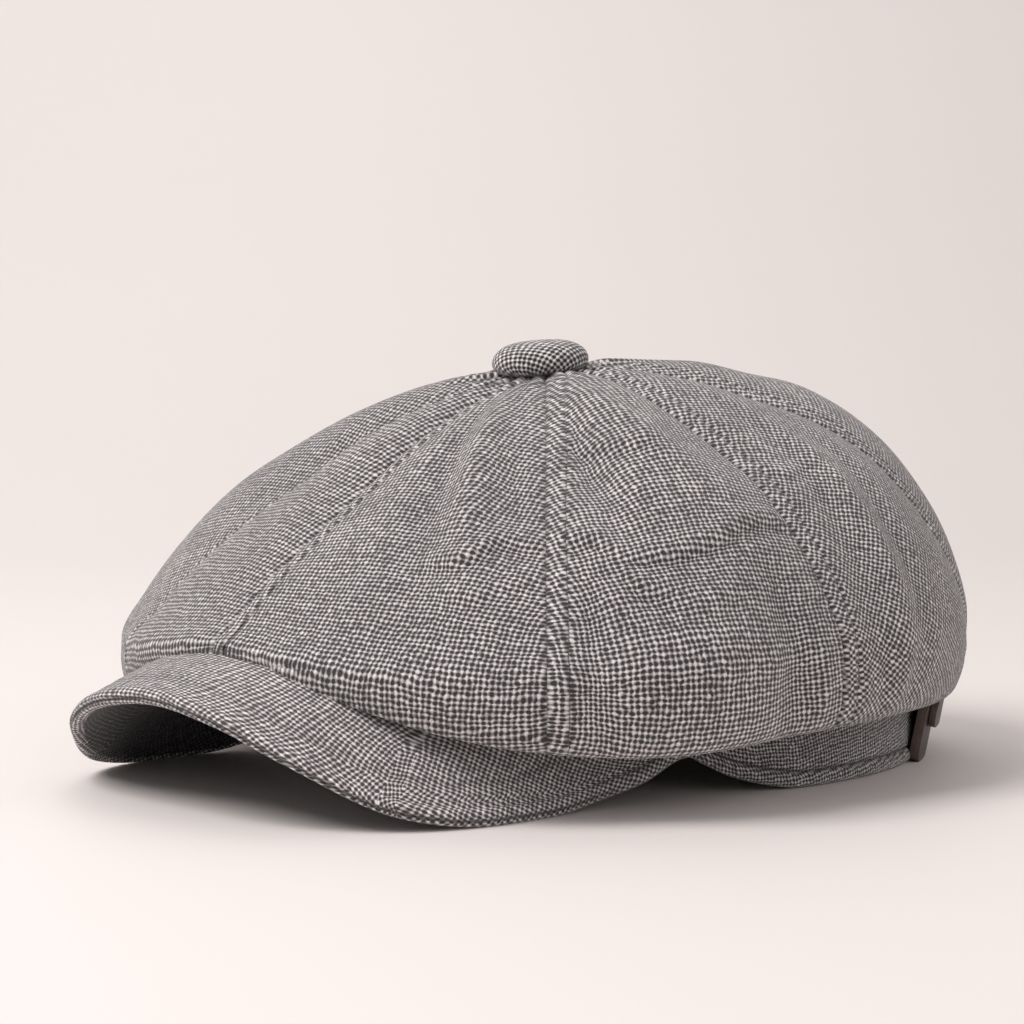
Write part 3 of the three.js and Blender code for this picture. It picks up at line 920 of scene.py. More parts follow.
def weave_group() -> bpy.types.NodeTree:
    """Makes a coarse weave: yarns that cross over and under, with slubs, painted shade in the gaps and on the
    yarns' flanks, and a painted highlight on their crowns.

    Returns:
        The node group, which puts out how light the yarns are, their own tones with the painted highlight and
        shade, and how high they stand.
    """
    group = new_group(
        "open_weave",
        {
            "Vector": ("NodeSocketVector", None),
            "Pitch": ("NodeSocketFloat", 1.46),
            "Waver": ("NodeSocketFloat", 0.5),
            "Yarn": ("NodeSocketFloat", 0.3),
        },
        {"Light": "NodeSocketFloat", "Height": "NodeSocketFloat"},
    )
    nodes = Nodes(group)
    given = nodes.add("NodeGroupInput").outputs
    # The yarns' lines wander broadly and tremble finely
    middle = (0.5,) * 3
    wide = nodes.vector("SUBTRACT", nodes.noise(given["Vector"], 0.045).outputs["Color"], middle)
    tight = nodes.vector("SUBTRACT", nodes.noise(given["Vector"], 0.55, 1.0).outputs["Color"], middle)
    offset = nodes.vector("ADD", nodes.scaled(wide, 7.0), nodes.scaled(tight, 2.0))
    moved = nodes.vector("ADD", given["Vector"], nodes.scaled(offset, given["Waver"]))
    parts = nodes.add("SeparateXYZ", {0: moved}).outputs
    across = nodes.math("DIVIDE", parts[0], given["Pitch"])
    down = nodes.math("DIVIDE", parts[1], given["Pitch"])
    # Each of the two sets of yarns runs along one way and goes over and under the other
    heights, lights = [], []
    for seed, (position, run) in enumerate(((across, down), (down, across))):
        cell = nodes.math("FLOOR", position)
        offcentre = nodes.math("SUBTRACT", nodes.math("FRACT", position), 0.5)
        drawn_out = nodes.math("MULTIPLY", run, 0.045)
        place = nodes.add("CombineXYZ", {0: cell, 1: drawn_out, 2: 17.0 * seed + 3.0})
        slub = nodes.noise(place.outputs[0], 1.7, 1.0).outputs["Fac"]
        tone = nodes.add("TexWhiteNoise", {"W": nodes.math("ADD", cell, 31.0 * seed)}, noise_dimensions="1D")
        turn = nodes.math("MULTIPLY", nodes.math("SUBTRACT", run, 0.5), 2 * math.pi)
        crossing = nodes.math("MULTIPLY_ADD", nodes.math("COSINE", turn), 0.5, 0.5)
        staggered = nodes.math("ADD", run, nodes.math("ADD", cell, seed - 0.5))
        half_turn = nodes.math("MULTIPLY", staggered, math.pi)
        over = nodes.math("MULTIPLY_ADD", nodes.math("COSINE", half_turn), 0.5, 0.5)
        fullness = nodes.math("MULTIPLY_ADD", slub, 0.4, nodes.math("MULTIPLY_ADD", crossing, 0.34, 0.63))
        width = nodes.math("MULTIPLY", given["Yarn"], fullness)
        inside = nodes.math("DIVIDE", nodes.math("ABSOLUTE", offcentre), width)
        round_top = nodes.math("SUBTRACT", 1.0, nodes.math("POWER", inside, 2.0), clamp=True)
        body = nodes.math("POWER", round_top, 0.75)
        # The strand's height also sets its lightness: a painted highlight on its crown and where it rides
        # over the other yarn, painted shade on its flanks and in the gaps
        raised = nodes.math("MULTIPLY", crossing, nodes.math("MULTIPLY_ADD", over, 0.3, 0.34))
        strand = nodes.math("MULTIPLY", body, nodes.math("ADD", 0.36, raised))
        heights.append(strand)
        toned = nodes.math("MULTIPLY_ADD", tone.outputs[0], 0.24, 0.84)
        lights.append(nodes.math("MULTIPLY", strand, toned))
    # The upper yarn is seen, and each crossing has a tone of its own
    height = nodes.math("MAXIMUM", heights[0], heights[1])
    cells = nodes.add("CombineXYZ", {0: nodes.math("FLOOR", across), 1: nodes.math("FLOOR", down)}).outputs[0]
    dot = nodes.add("TexWhiteNoise", {"Vector": cells}, noise_dimensions="2D").outputs[0]
    brightest = nodes.math("MAXIMUM", lights[0], lights[1])
    light = nodes.math("MULTIPLY", brightest, nodes.math("MULTIPLY_ADD", dot, 0.45, 0.72))
    nodes.add("NodeGroupOutput", {"Light": light, "Height": height})
    return group


def wear_and_shade_group() -> bpy.types.NodeTree:
    """Makes marks of use and painted shade: rubbed places go lighter and the tone drifts, while seam grooves,
    pleats and the places under the crown's lip are painted near black.

    Returns:
        The node group, which puts out the worn colour with its painted shade.
    """
    group = new_group(
        "wear_and_shade",
        {
            "Color": ("NodeSocketColor", (0.5, 0.5, 0.5, 1)),
            "Vector": ("NodeSocketVector", None),
            "Rub": ("NodeSocketFloat", 0.0),
            "PaintedShadeShare": ("NodeSocketFloat", 0.0),
            "Drift": ("NodeSocketFloat", 0.2),
            # Near-black colour of the painted shade
            "PaintedShade": ("NodeSocketColor", (0.014, 0.012, 0.013, 1)),
        },
        {"Color": "NodeSocketColor"},
    )
    nodes = Nodes(group)
    given = nodes.add("NodeGroupInput").outputs
    patch = nodes.noise(given["Vector"], 22.0, 4.0).outputs["Fac"]
    drift = nodes.math("MULTIPLY", nodes.math("SUBTRACT", patch, 0.5), given["Drift"])
    gain = nodes.math("ADD", 1.0, nodes.math("MULTIPLY", drift, 2.0))
    rubbed = nodes.math("ADD", 1.0, nodes.math("MULTIPLY", given["Rub"], 0.25))
    total = nodes.math("MULTIPLY", gain, rubbed)
    shade = nodes.add("CombineColor", {0: total, 1: total, 2: total}).outputs[0]
    drifted = nodes.mix(1.0, given["Color"], shade, "MULTIPLY")
    # Painted shade: the colour goes near black where the groove attribute marks seams, stitch grooves, pleats
    # and the crown's lip over the peak
    depth = nodes.math("MULTIPLY", given["PaintedShadeShare"], 0.93)
    nodes.add("NodeGroupOutput", {"Color": nodes.mix(depth, drifted, given["PaintedShade"])})
    return group


@dataclass(frozen=True)
class ClothFinish:
    """Coarse cloth whose colour runs from the dark colour, painted shade in the weave's gaps and on the
    yarns' flanks, to the light colour, the yarns' own tone with a painted highlight on their crowns.

    Fields give the light and dark colours, the weave's pitch in millimetres, how far its lines wander, the
    grain's turn in degrees, the strength and depth of the relief, the weave's light value that counts as a
    gap and the range above it, and the strength and least value of the specks.
    """

    name: str
    light: tuple[float, float, float] = (0.8, 0.755, 0.76)
    dark: tuple[float, float, float] = (0.03, 0.025, 0.028)
    pitch: float = 1.46
    waver: float = 0.5
    turn: float = 0.0
    bump: float = 0.9
    depth: float = 0.35 * MM
    gap_light: float = 0.13
    light_range: float = 0.74
    speck_strength: float = 1.7
    speck_least: float = 0.14

    def material(self, weave: bpy.types.NodeTree, wear_and_shade: bpy.types.NodeTree) -> bpy.types.Material:
        """Makes the cloth's material.

        Args:
            weave: the node group of the weave.
            wear_and_shade: the node group of the marks of use and of the painted shade.

        Returns:
            The material.
        """
        material, nodes = new_material(self.name)
        uv = nodes.add("UVMap", uv_map="weave").outputs[0]
        place = nodes.add("TexCoord").outputs["Object"]
        rub = nodes.add("Attribute", attribute_name="rub").outputs["Fac"]
        # The groove attribute gives the share of painted shade in seams, pleats and under the crown's lip
        groove = nodes.add("Attribute", attribute_name="groove").outputs["Fac"]
        grain = nodes.add("Mapping", {"Vector": uv, "Rotation": (0, 0, math.radians(self.turn))}).outputs[0]
        settings = {"Vector": grain, "Pitch": self.pitch, "Waver": self.waver}
        cloth = nodes.add("Group", settings, node_tree=weave)
        above_gaps = nodes.math("SUBTRACT", cloth.outputs["Light"], self.gap_light)
        lightness = nodes.math("DIVIDE", above_gaps, self.light_range, clamp=True)
        specks = nodes.noise(uv, 2.1, 2.0).outputs["Fac"]
        specked = nodes.math("MULTIPLY_ADD", specks, self.speck_strength, self.speck_least)
        uneven = nodes.math("MULTIPLY", lightness, specked, clamp=True)
        # Painted shade and highlight over the yarns' own tones: the dark colour where the weave lies low, the
        # light colour on the yarns' crowns
        yarn = nodes.mix(uneven, (*self.dark, 1), (*self.light, 1))
        marks = {"Color": yarn, "Vector": place, "Rub": rub, "PaintedShadeShare": groove}
        # The worn colour carries the painted shade as well as the marks of use
        worn = nodes.add("Group", marks, node_tree=wear_and_shade)
        fuzz = nodes.noise(uv, 2.6, 3.0).outputs["Fac"]
        height = nodes.math("ADD", cloth.outputs["Height"], nodes.math("MULTIPLY", fuzz, 0.35))
        normal = nodes.add("Bump", {"Height": height, "Strength": self.bump, "Distance": self.depth})
        roughness = nodes.math("ADD", 0.82, nodes.math("MULTIPLY", fuzz, 0.15))
        nodes.shade({
            "Base Color": worn.outputs["Color"],
            "Roughness": roughness,
            "Normal": normal.outputs[0],
            "Specular IOR Level": 0.2,
            "Sheen Weight": 0.25,
            "Sheen Roughness": 0.6,
        })
        return material


@dataclass(frozen=True)
class LeatherFinish:
    """Smooth dark leather with fine grain and lighter worn edges."""

    name: str = "dark_leather"
    colour: tuple[float, float, float] = (0.05, 0.036, 0.034)
    worn: tuple[float, float, float] = (0.13, 0.085, 0.07)
    grain: float = 900.0

    def material(self, wear_and_shade: bpy.types.NodeTree) -> bpy.types.Material:
        """Makes the leather's material.

        Args:
            wear_and_shade: the node group of the marks of use.

        Returns:
            The material.
        """
        material, nodes = new_material(self.name)
        place = nodes.add("TexCoord").outputs["Object"]
        pores = nodes.add("TexVoronoi", {"Vector": place, "Scale": self.grain}, feature="SMOOTH_F1")
        clouds = nodes.noise(place, 60.0, 5.0).outputs["Fac"]
        rub = nodes.add("Attribute", attribute_name="rub").outputs["Fac"]
        share = nodes.math("MULTIPLY", rub, clouds, clamp=True)
        colour = nodes.mix(share, (*self.colour, 1), (*self.worn, 1))
        worn = nodes.add("Group", {"Color": colour, "Vector": place, "Rub": rub}, node_tree=wear_and_shade)
        height = nodes.math("ADD", pores.outputs["Distance"], nodes.math("MULTIPLY", clouds, 0.6))
        normal = nodes.add("Bump", {"Height": height, "Strength": 0.5, "Distance": 0.25 * MM})
        nodes.shade({
            "Base Color": worn.outputs["Color"],
            "Roughness": nodes.math("ADD", 0.36, nodes.math("MULTIPLY", clouds, 0.25)),
            "Normal": normal.outputs[0],
        })
        return material


@dataclass(frozen=True)
class ThreadFinish:
    """Twisted sewing thread."""

    name: str
    colour: tuple[float, float, float] = (0.11, 0.104, 0.107)

    def material(self) -> bpy.types.Material:
        """Makes the thread's material.

        Returns:
            The material.
        """
        material, nodes = new_material(self.name)
        place = nodes.add("TexCoord").outputs["Object"]
        twist = nodes.noise(place, 2500.0, 2.0).outputs["Fac"]
        tone = nodes.mix(twist, (*(c * 0.6 for c in self.colour), 1), (*(c * 1.5 for c in self.colour), 1))
        normal = nodes.add("Bump", {"Height": twist, "Strength": 0.6, "Distance": 0.15 * MM})
        nodes.shade({"Base Color": tone, "Roughness": 0.7, "Normal": normal.outputs[0]})
        return material


@dataclass
class Finishes:
    """Every material of the cap, made once."""

    cloth: bpy.types.Material = field(init=False)
    painted_shade_under_cloth: bpy.types.Material = field(init=False)
    bias_cloth: bpy.types.Material = field(init=False)
    peak_cloth: bpy.types.Material = field(init=False)
    band_cloth: bpy.types.Material = field(init=False)
    button_cloth: bpy.types.Material = field(init=False)
    leather: bpy.types.Material = field(init=False)
    thread: bpy.types.Material = field(init=False)
    strap_thread: bpy.types.Material = field(init=False)

    def __post_init__(self) -> None:
        """Makes the shared node groups, then each finish from them."""
        weave, wear_and_shade = weave_group(), wear_and_shade_group()
        self.cloth = ClothFinish("grey_cloth").material(weave, wear_and_shade)
        # Painted shade: a darker copy of the grey cloth for the peak's underside
        shaded = ClothFinish("shaded_cloth", light=(0.17, 0.16, 0.17), dark=(0.01, 0.009, 0.01), pitch=1.3)
        self.painted_shade_under_cloth = shaded.material(weave, wear_and_shade)
        self.bias_cloth = ClothFinish("bias_cloth", pitch=1.36, turn=42).material(weave, wear_and_shade)
        peak = ClothFinish("peak_cloth", (0.88, 0.83, 0.835), (0.045, 0.038, 0.042), 1.3, 0.35, 8)
        self.peak_cloth = peak.material(weave, wear_and_shade)
        self.band_cloth = ClothFinish("band_cloth", pitch=1.2, waver=0.6, turn=10).material(weave, wear_and_shade)
        button = ClothFinish("button_cloth", (0.92, 0.87, 0.875), (0.018, 0.015, 0.017), 1.7, 0.3, 40)
        self.button_cloth = button.material(weave, wear_and_shade)
        self.leather = LeatherFinish().material(wear_and_shade)
        self.thread = ThreadFinish("grey_thread").material()
        self.strap_thread = ThreadFinish("strap_thread", colour=(0.3, 0.27, 0.26)).material()


@dataclass
class Stitching:
    """Rows of short thread stitches, each a small rounded bead of thread."""

    maker: MeshMaker
    length: float = 2.2
    pitch: float = 3.2
    width: float = 0.45
    sides: int = 6
    rings: int = 4

    def sew(self, shape: bmesh.types.BMesh, path: np.ndarray, facing: np.ndarray) -> None:
        """Adds stitches along a path of points.

        Args:
            shape: the mesh that the stitches go into.
            path: points round the crown's axis, in millimetres.
            facing: for each point, the way that the cloth faces.
        """
        steps = np.linalg.norm(np.diff(path, axis=0), axis=1)
        along = running(steps)
        count = max(1, int(along[-1] / self.pitch))
        for number in range(count):
            middle = (number + 0.5) * along[-1] / count
            centre, before, after, up = (
                np.array([np.interp(place, along, values[:, axis]) for axis in range(3)])
                for place, values in (
                    (middle, path), (middle - 0.5, path), (middle + 0.5, path), (middle, facing)
                )
            )
            forward = Vector(after - before).normalized()
            normal = Vector(up).normalized()
            side = normal.cross(forward).normalized()
            turn = Matrix((forward, side, forward.cross(side))).transposed().to_4x4()
            stretch = Matrix.Diagonal((self.length / 2, self.width / 2, self.width / 2, 1))
            matrix = Matrix.Translation(Vector(centre * MM) + self.maker.axis) @ turn @ stretch
            matrix = matrix @ Matrix.Scale(MM, 4) @ Matrix.Rotation(math.pi / 2, 4, "Y")
            bmesh.ops.create_uvsphere(
                shape, u_segments=self.sides, v_segments=self.rings, radius=1.0, matrix=matrix
            )


@dataclass
class Crown:
    """The eight cloth panels of the crown, with their seams, pleats and folds.

    The field panels gives each panel's name and the angle of its first seam. A wave is a rate, a lead and a
    size. The allowance is the strip beside each seam that lies on its turned-over cloth.
    """

    maker: MeshMaker
    shape: CrownShape
    finishes: Finishes
    columns: int = 96
    rows: int = 152
    edge_crowding: float = 0.6
    allowance: float = 5.4
    allowance_height: float = 0.3
    seam_roll: float = 0.9
    stitch_offset: float = 0.2
    stitch_groove: float = 0.6
    groove_width: float = 0.6
    seam_width: float = 0.75
    seam_shade: float = 2.1
    stitch_shade: float = 0.8
    strip_rub: float = 0.3
    pleat_height: float = 1.3
    pleat_reach: float = 0.11
    pleat_shade: float = 0.7
    pleat_waves: tuple[tuple[float, float, float], ...] = ((29, 0.6, 0.6), (17, 2.2, 0.5))
    pucker_height: float = 0.14
    pucker_waves: tuple[tuple[float, float, float], ...] = ((0.72, 1, 0.6), (1.31, 2, 0.4))
    panel_length: float = 210
    profile_steps: int = 400
    profile_smoothing: int = 15
    least_bend: float = 1e-5
    panels: tuple[tuple[str, float], ...] = (
        ("front_left", -1),
        ("left_front", 47),
        ("left_rear", 90),
        ("rear_left", 134),
        ("rear_right", 181),
        ("right_rear", 230),
        ("right_front", 280),
        ("front_right", 329),
    )
    bias_panels: tuple[str, ...] = ("left_rear", "right_front")
    contact_shade_low: float = 0.5
    contact_shade_high: float = 1.6
    slack_weave: float = 0.8
    slack_reach: float = 120
    wrinkle_count: int = 110
    wrinkle_height: float = 0.75
    creases: tuple[Crease, ...] = (
        Crease(Curve((47, 50, 55, 58, 62, 67, 74, 79, 86, 91),
                     (0.53, 0.535, 0.545, 0.575, 0.585, 0.583, 0.568, 0.552, 0.555, 0.58)), 0.019, 1.35),
        Crease(Curve((52, 57, 61, 66, 72, 78), (0.58, 0.593, 0.643, 0.67, 0.662, 0.64)), 0.022, 1.0),
        Crease(Curve((26, 31, 35, 39, 45, 49), (0.55, 0.545, 0.542, 0.517, 0.537, 0.55)), 0.02, 1.2),
        Crease(Curve((30, 36, 42, 47), (0.60, 0.62, 0.605, 0.6)), 0.018, 0.6),
        Crease(Curve((50, 58, 66, 74), (0.30, 0.34, 0.36, 0.34)), 0.018, 0.7),
        Crease(Curve((92, 98, 106, 114), (0.45, 0.47, 0.46, 0.43)), 0.016, 0.6),
    )

    def wrinkles(self) -> list[Fold]:
        """Scatters small soft wrinkles over the crown.

        Returns:
            The wrinkles, the same in each run.
        """
        random = np.random.default_rng(12)
        return [
            Fold(
                angle=random.uniform(0, 360),
                along=random.uniform(0.12, 0.86),
                width=random.uniform(2.0, 5.5),
                length=random.uniform(0.03, 0.12),
                slant=random.uniform(-7, 7),
                depth=random.uniform(-1, 1) * self.wrinkle_height,
            )
            for _ in range(self.wrinkle_count)
        ]

    def broad_relief(self, angle: np.ndarray, along: np.ndarray, start: float, end: float) -> np.ndarray:
        """Works out how far folds, creases and wrinkles move the cloth, without the seams' stitching.

        Args:
            angle: places round the crown.
            along: shares of the way out from the button.
            start: angle of the panel's first seam.
            end: angle of its second seam.

        Returns:
            The relief in millimetres.
        """
        shape = self.shape
        main = sum(fold.shape(angle, along) for fold in shape.folds)
        relief = shape.seam_depth * (main + shape.seam_relief(angle, along, start, end))
        for crease in (*self.creases, *self.wrinkles()):
            relief = relief + crease.shape(angle, along)
        return relief

    def relief(self, angle: np.ndarray, along: np.ndarray, start: float, end: float) -> tuple:
        """How far the cloth stands out of the plain crown.

        Args:
            angle: places round the crown.
            along: shares of the way out from the button.
            start: angle of the panel's first seam.
            end: angle of its second seam.

        Returns:
            The relief in millimetres, how rubbed the cloth is, and how much painted shade it takes in the
            seams, the stitch groove and the pleats.
        """
        shape = self.shape
        radius = np.linalg.norm(shape.plain_point(angle, along)[..., :2], axis=-1)
        from_start = np.radians(angle - start) * radius
        from_end = np.radians(end - angle) * radius
        relief = self.broad_relief(angle, along, start, end)
        fade = ramp(along, 0.0, 0.05) * (1 - ramp(along, 0.9, 0.96))
        past_strip = ramp(from_start, self.allowance - 0.5, self.allowance + 0.5)
        strip = ramp(from_start, 0.1, 1.4) * (1 - past_strip)
        groove_place = from_start - self.allowance - self.stitch_offset
        groove = bump(groove_place, self.groove_width)
        seam = bump(from_start, self.seam_width) + bump(from_end, self.seam_width)
        length = along * self.panel_length
        puckers = sum(size * np.sin(length * rate + turn * start) for rate, turn, size in self.pucker_waves)
        near = np.exp(-np.abs(groove_place) / 4.5) + 0.7 * np.exp(-from_end / 4.0)
        relief = relief + fade * (
            self.allowance_height * strip
            - self.stitch_groove * groove
            - self.seam_roll * seam
            + self.pucker_height * puckers * near
        )
        turned = np.radians(angle)
        pleats = sum(size * np.cos(turned * count + lead) for count, lead, size in self.pleat_waves)
        pleated = bump(along, self.pleat_reach)
        relief = relief + self.pleat_height * pleats * pleated
        # Painted shade in the seam lines, the stitch groove and the pleats' hollows
        groove_shade = np.clip(self.seam_shade * seam + self.stitch_shade * groove, 0, 1) * fade
        groove_shade = np.maximum(groove_shade, np.clip(-pleats, 0, 1) * pleated * self.pleat_shade)
        return relief, strip * fade * self.strip_rub, groove_shade

    def lay_on_peak(self, angle: np.ndarray, along: np.ndarray, relief: np.ndarray) -> np.ndarray:
        """Places points of the crown with its lip rolled under on the peak.

        Args:
            angle: places round the crown, of a sheet or of one line down it.
            along: shares of the way out from the button.
            relief: how far out of the plain crown each point is pushed, in millimetres.

        Returns:
            The points, in the same order.
        """
        resting = self.shape.lifted(angle, along, relief)
        free = self.shape.lifted(angle, along, relief, resting=False)
        order = np.lexsort((angle.round(6), along.round(6)))
        rows = len(np.unique(along.round(6)))
        shares = along[order].reshape(rows, -1)[:, 0]
        sheets = (points[order].reshape(rows, -1, 3) for points in (resting, free))
        found = np.empty_like(resting)
        found[order] = self.shape.folded_under(*sheets, shares).reshape(-1, 3)
        return found

    def panel_points(self, start: float, end: float, across: np.ndarray, along: np.ndarray) -> tuple:
        """Places the points of one panel.

        Args:
            start: angle of the panel's first seam.
            end: angle of its second seam.
            across: shares of the way across it.
            along: shares of the way out from the button.

        Returns:
            The angles, the points, how rubbed each is, and how much painted shade it takes in grooves and
            where it comes close to the peak.
        """
        crowded = across - self.edge_crowding * np.sin(2 * np.pi * across) / (2 * np.pi)
        angle = start + crowded * (end - start)
        relief, rub, groove = self.relief(angle, along, start, end)
        points = self.lay_on_peak(angle, along, relief)
        # Painted shade where the crown's lip comes down close to the peak
        above = points[..., 2] - self.shape.peak.height_under(points)
        painted_contact_shade = (1 - ramp(above, self.contact_shade_low, self.contact_shade_high)) * (along > self.shape.fold_along)
        return angle, points, rub, np.maximum(groove, painted_contact_shade)

    def flat_pattern(self, middle: float, along: np.ndarray, aside: np.ndarray) -> np.ndarray:
        """Where each point of a panel lay in the flat cloth that it was cut from.

        Args:
            middle: angle of the panel's middle line.
            along: shares of the way out from the button.
            aside: length of cloth from the middle line.

        Returns:
            The places in the flat cloth, with the grain along the middle line.
        """
        steps = np.linspace(0, 1, self.profile_steps)
        profile = self.shape.plain_point(np.full_like(steps, middle), steps)
        lengths = running(np.linalg.norm(np.diff(profile, axis=0), axis=1))
        radius = np.linalg.norm(profile[:, :2], axis=1)
        opening = np.gradient(radius, lengths)
        average = np.ones(self.profile_smoothing) / self.profile_smoothing
        bend = np.interp(along, steps, np.convolve(opening / radius, average, mode="same"))
        bend = np.where(np.abs(bend) < self.least_bend, self.least_bend, bend)
        down = np.interp(along, steps, lengths) - (1 - np.cos(bend * aside)) / bend
        return np.stack([np.sin(bend * aside) / bend, -down], axis=-1)

    def panel(self, name: str, start: float, end: float) -> bpy.types.Object:
        """Builds one panel with its thickness.

        Args:
            name: the panel's name.
            start: angle of the panel's first seam.
            end: angle of its second seam.

        Returns:
            The piece.
        """
        sheet, across, along = self.maker.grid(self.columns, self.rows)
        angle, points, rub, groove = self.panel_points(start, end, across, along)
        self.maker.place(sheet, points)
        broad = self.lay_on_peak(angle, along, self.broad_relief(angle, along, start, end))
        aside = self.maker.row_lengths(across, along, broad)
        guess = self.flat_pattern((start + end) / 2, along, aside)
        flat = self.maker.lay_flat(across, along, broad, guess)
        away = np.linalg.norm(flat, axis=-1, keepdims=True) / self.slack_reach
        opened = self.slack_weave + (1 - self.slack_weave) * np.minimum(away, 1) / 2
        self.maker.lay_weave(sheet, flat * np.where(away < 1, opened, 1 - (1 - opened) / away) + start)
        self.maker.mark(sheet, "rub", rub)
        # The groove attribute carries the painted shade to the material
        self.maker.mark(sheet, "groove", groove)
        bmesh.ops.recalc_face_normals(sheet, faces=sheet.faces[:])
        if sheet.faces[0].normal.z < 0:
            bmesh.ops.reverse_faces(sheet, faces=sheet.faces[:])
        cloth = self.finishes.bias_cloth if name in self.bias_panels else self.finishes.cloth
        piece = self.maker.finish(sheet, f"cloth_{name}", Slot.CLOTH, [cloth])
        wall = piece.modifiers.new("thickness", "SOLIDIFY")
        wall.thickness = self.shape.thickness * MM
        wall.offset = -1
        settle(piece)
        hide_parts(f"crown_panel_{name}")
        return piece

    def spans(self) -> list[tuple[str, float, float]]:
        """Each panel's name, and the angles of its two seams."""
        ends = [start for _, start in self.panels[1:]] + [self.panels[0][1] + 360]
        return [(name, start, end) for (name, start), end in zip(self.panels, ends)]

    def lip_line(self) -> tuple[np.ndarray, np.ndarray]:
        """Finds how far out the crown's lip stands over the peak.

        Returns:
            Angles from right to left, and the lip's distance from the crown's axis at each.
        """
        angles, reaches = [], []
        for _, start, end in self.spans():
            angle, along = np.meshgrid(np.linspace(start, end, 40), np.linspace(0.5, 0.92, 160))
            relief = self.broad_relief(angle.ravel(), along.ravel(), start, end)
            points = self.lay_on_peak(angle.ravel(), along.ravel(), relief)
            above = points[:, 2] - self.shape.peak.height_under(points)
            near = above < self.shape.lip_roll + self.shape.lip_gap
            reach = np.where(near, np.linalg.norm(points[:, :2], axis=-1), 0).reshape(angle.shape)
            angles.extend(angle_between(angle[0], 0))
            reaches.extend(reach.max(axis=0))
        order = np.argsort(angles)
        return np.array(angles)[order], np.array(reaches)[order]

    def seams(self) -> bpy.types.Object:
        """Sews the row of topstitching beside each seam.

        Returns:
            The piece.
        """
        stitching = Stitching(self.maker)
        threads = bmesh.new()
        for _, start, end in self.spans():
            along = np.linspace(0.04, 0.93, 260)
            radius = np.linalg.norm(self.shape.plain_point(np.full_like(along, start), along)[:, :2], axis=1)
            angle = start + np.degrees((self.allowance + self.stitch_offset) / radius)
            relief, _, _ = self.relief(angle, along, start, end)
            points = self.lay_on_peak(angle, along, relief)
            beside = self.lay_on_peak(angle + 0.5, along, relief)
            tangent = np.gradient(points, axis=0)
            facing = np.cross(tangent, beside - points)
            stitching.sew(threads, points, facing * np.sign(facing[:1, 2:3]))
        return self.maker.finish(threads, "crown_stitches", Slot.CLOTH, [self.finishes.thread])

    def build(self) -> list[bpy.types.Object]:
        """Builds all eight panels and their stitching."""
        return [*(self.panel(*span) for span in self.spans()), self.seams()]


@dataclass
class CoveredButton:
    """The cloth-covered button on top of the crown."""

    maker: MeshMaker
    finishes: Finishes
    diameter: float = 29
    thickness: float = 10.5
    tilt: float = 6
    forward: float = 3
    lift: float = 1
    top_share: float = 0.6
    roundness: float = 0.6
    crown_top: float = 116.5
    cloth_share: float = 0.42
    gather_waves: tuple[tuple[float, float, float], ...] = ((14, 0, 0.25), (23, 1, 0.15))
    outline_waves: tuple[tuple[float, float, float], ...] = ((2, 0.7, 0.25), (3, 0, 0.2))
    sides: int = 96
    rings: int = 64

    def build(self) -> bpy.types.Object:
        """Builds the button: a squared ball, flatter below, with gathers where the cloth tucks under.

        Returns:
            The piece.
        """
        ball = bmesh.new()
        bmesh.ops.create_uvsphere(ball, u_segments=self.sides, v_segments=self.rings, radius=1.0)
        places = np.array([vertex.co[:] for vertex in ball.verts])
        across = np.hypot(places[:, 0], places[:, 1])
        turn = np.arctan2(places[:, 1], places[:, 0])
        squared = across**self.roundness * self.diameter / 2
        tucked = ramp(-places[:, 2], 0.05, 0.8) * across
        radius = squared + waves(turn, self.gather_waves) * tucked + waves(turn, self.outline_waves) * across
        half = np.where(places[:, 2] < 0, 1 - self.top_share, self.top_share) * self.thickness
        height = places[:, 2] * half
        points = np.stack([radius * np.cos(turn), radius * np.sin(turn), height], axis=-1)
        polar = np.arccos(np.clip(places[:, 2], -1, 1)) * self.diameter * self.cloth_share
        polar = (polar + radius) / 2
        weave = np.stack([polar * np.cos(turn + 0.5), polar * np.sin(turn + 0.5)], axis=-1)
        lean = math.radians(self.tilt)
        tilted = points.copy()
        tilted[:, 1] = points[:, 1] * math.cos(lean) - points[:, 2] * math.sin(lean) - self.forward
        tilted[:, 2] = points[:, 1] * math.sin(lean) + points[:, 2] * math.cos(lean)
        tilted[:, 2] += self.crown_top + self.thickness * (1 - self.top_share) + self.lift
        self.maker.place(ball, tilted)
        self.maker.lay_weave(ball, weave)
        self.maker.mark(ball, "rub", ramp(places[:, 2], 0.2, 0.9) * 0.3)
        # Painted shade on the button's underside
        self.maker.mark(ball, "groove", ramp(-places[:, 2], 0.3, 1) * 0.6)
        piece = self.maker.finish(ball, "cloth_button", Slot.CLOTH, [self.finishes.button_cloth])
        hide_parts("button")
        return piece


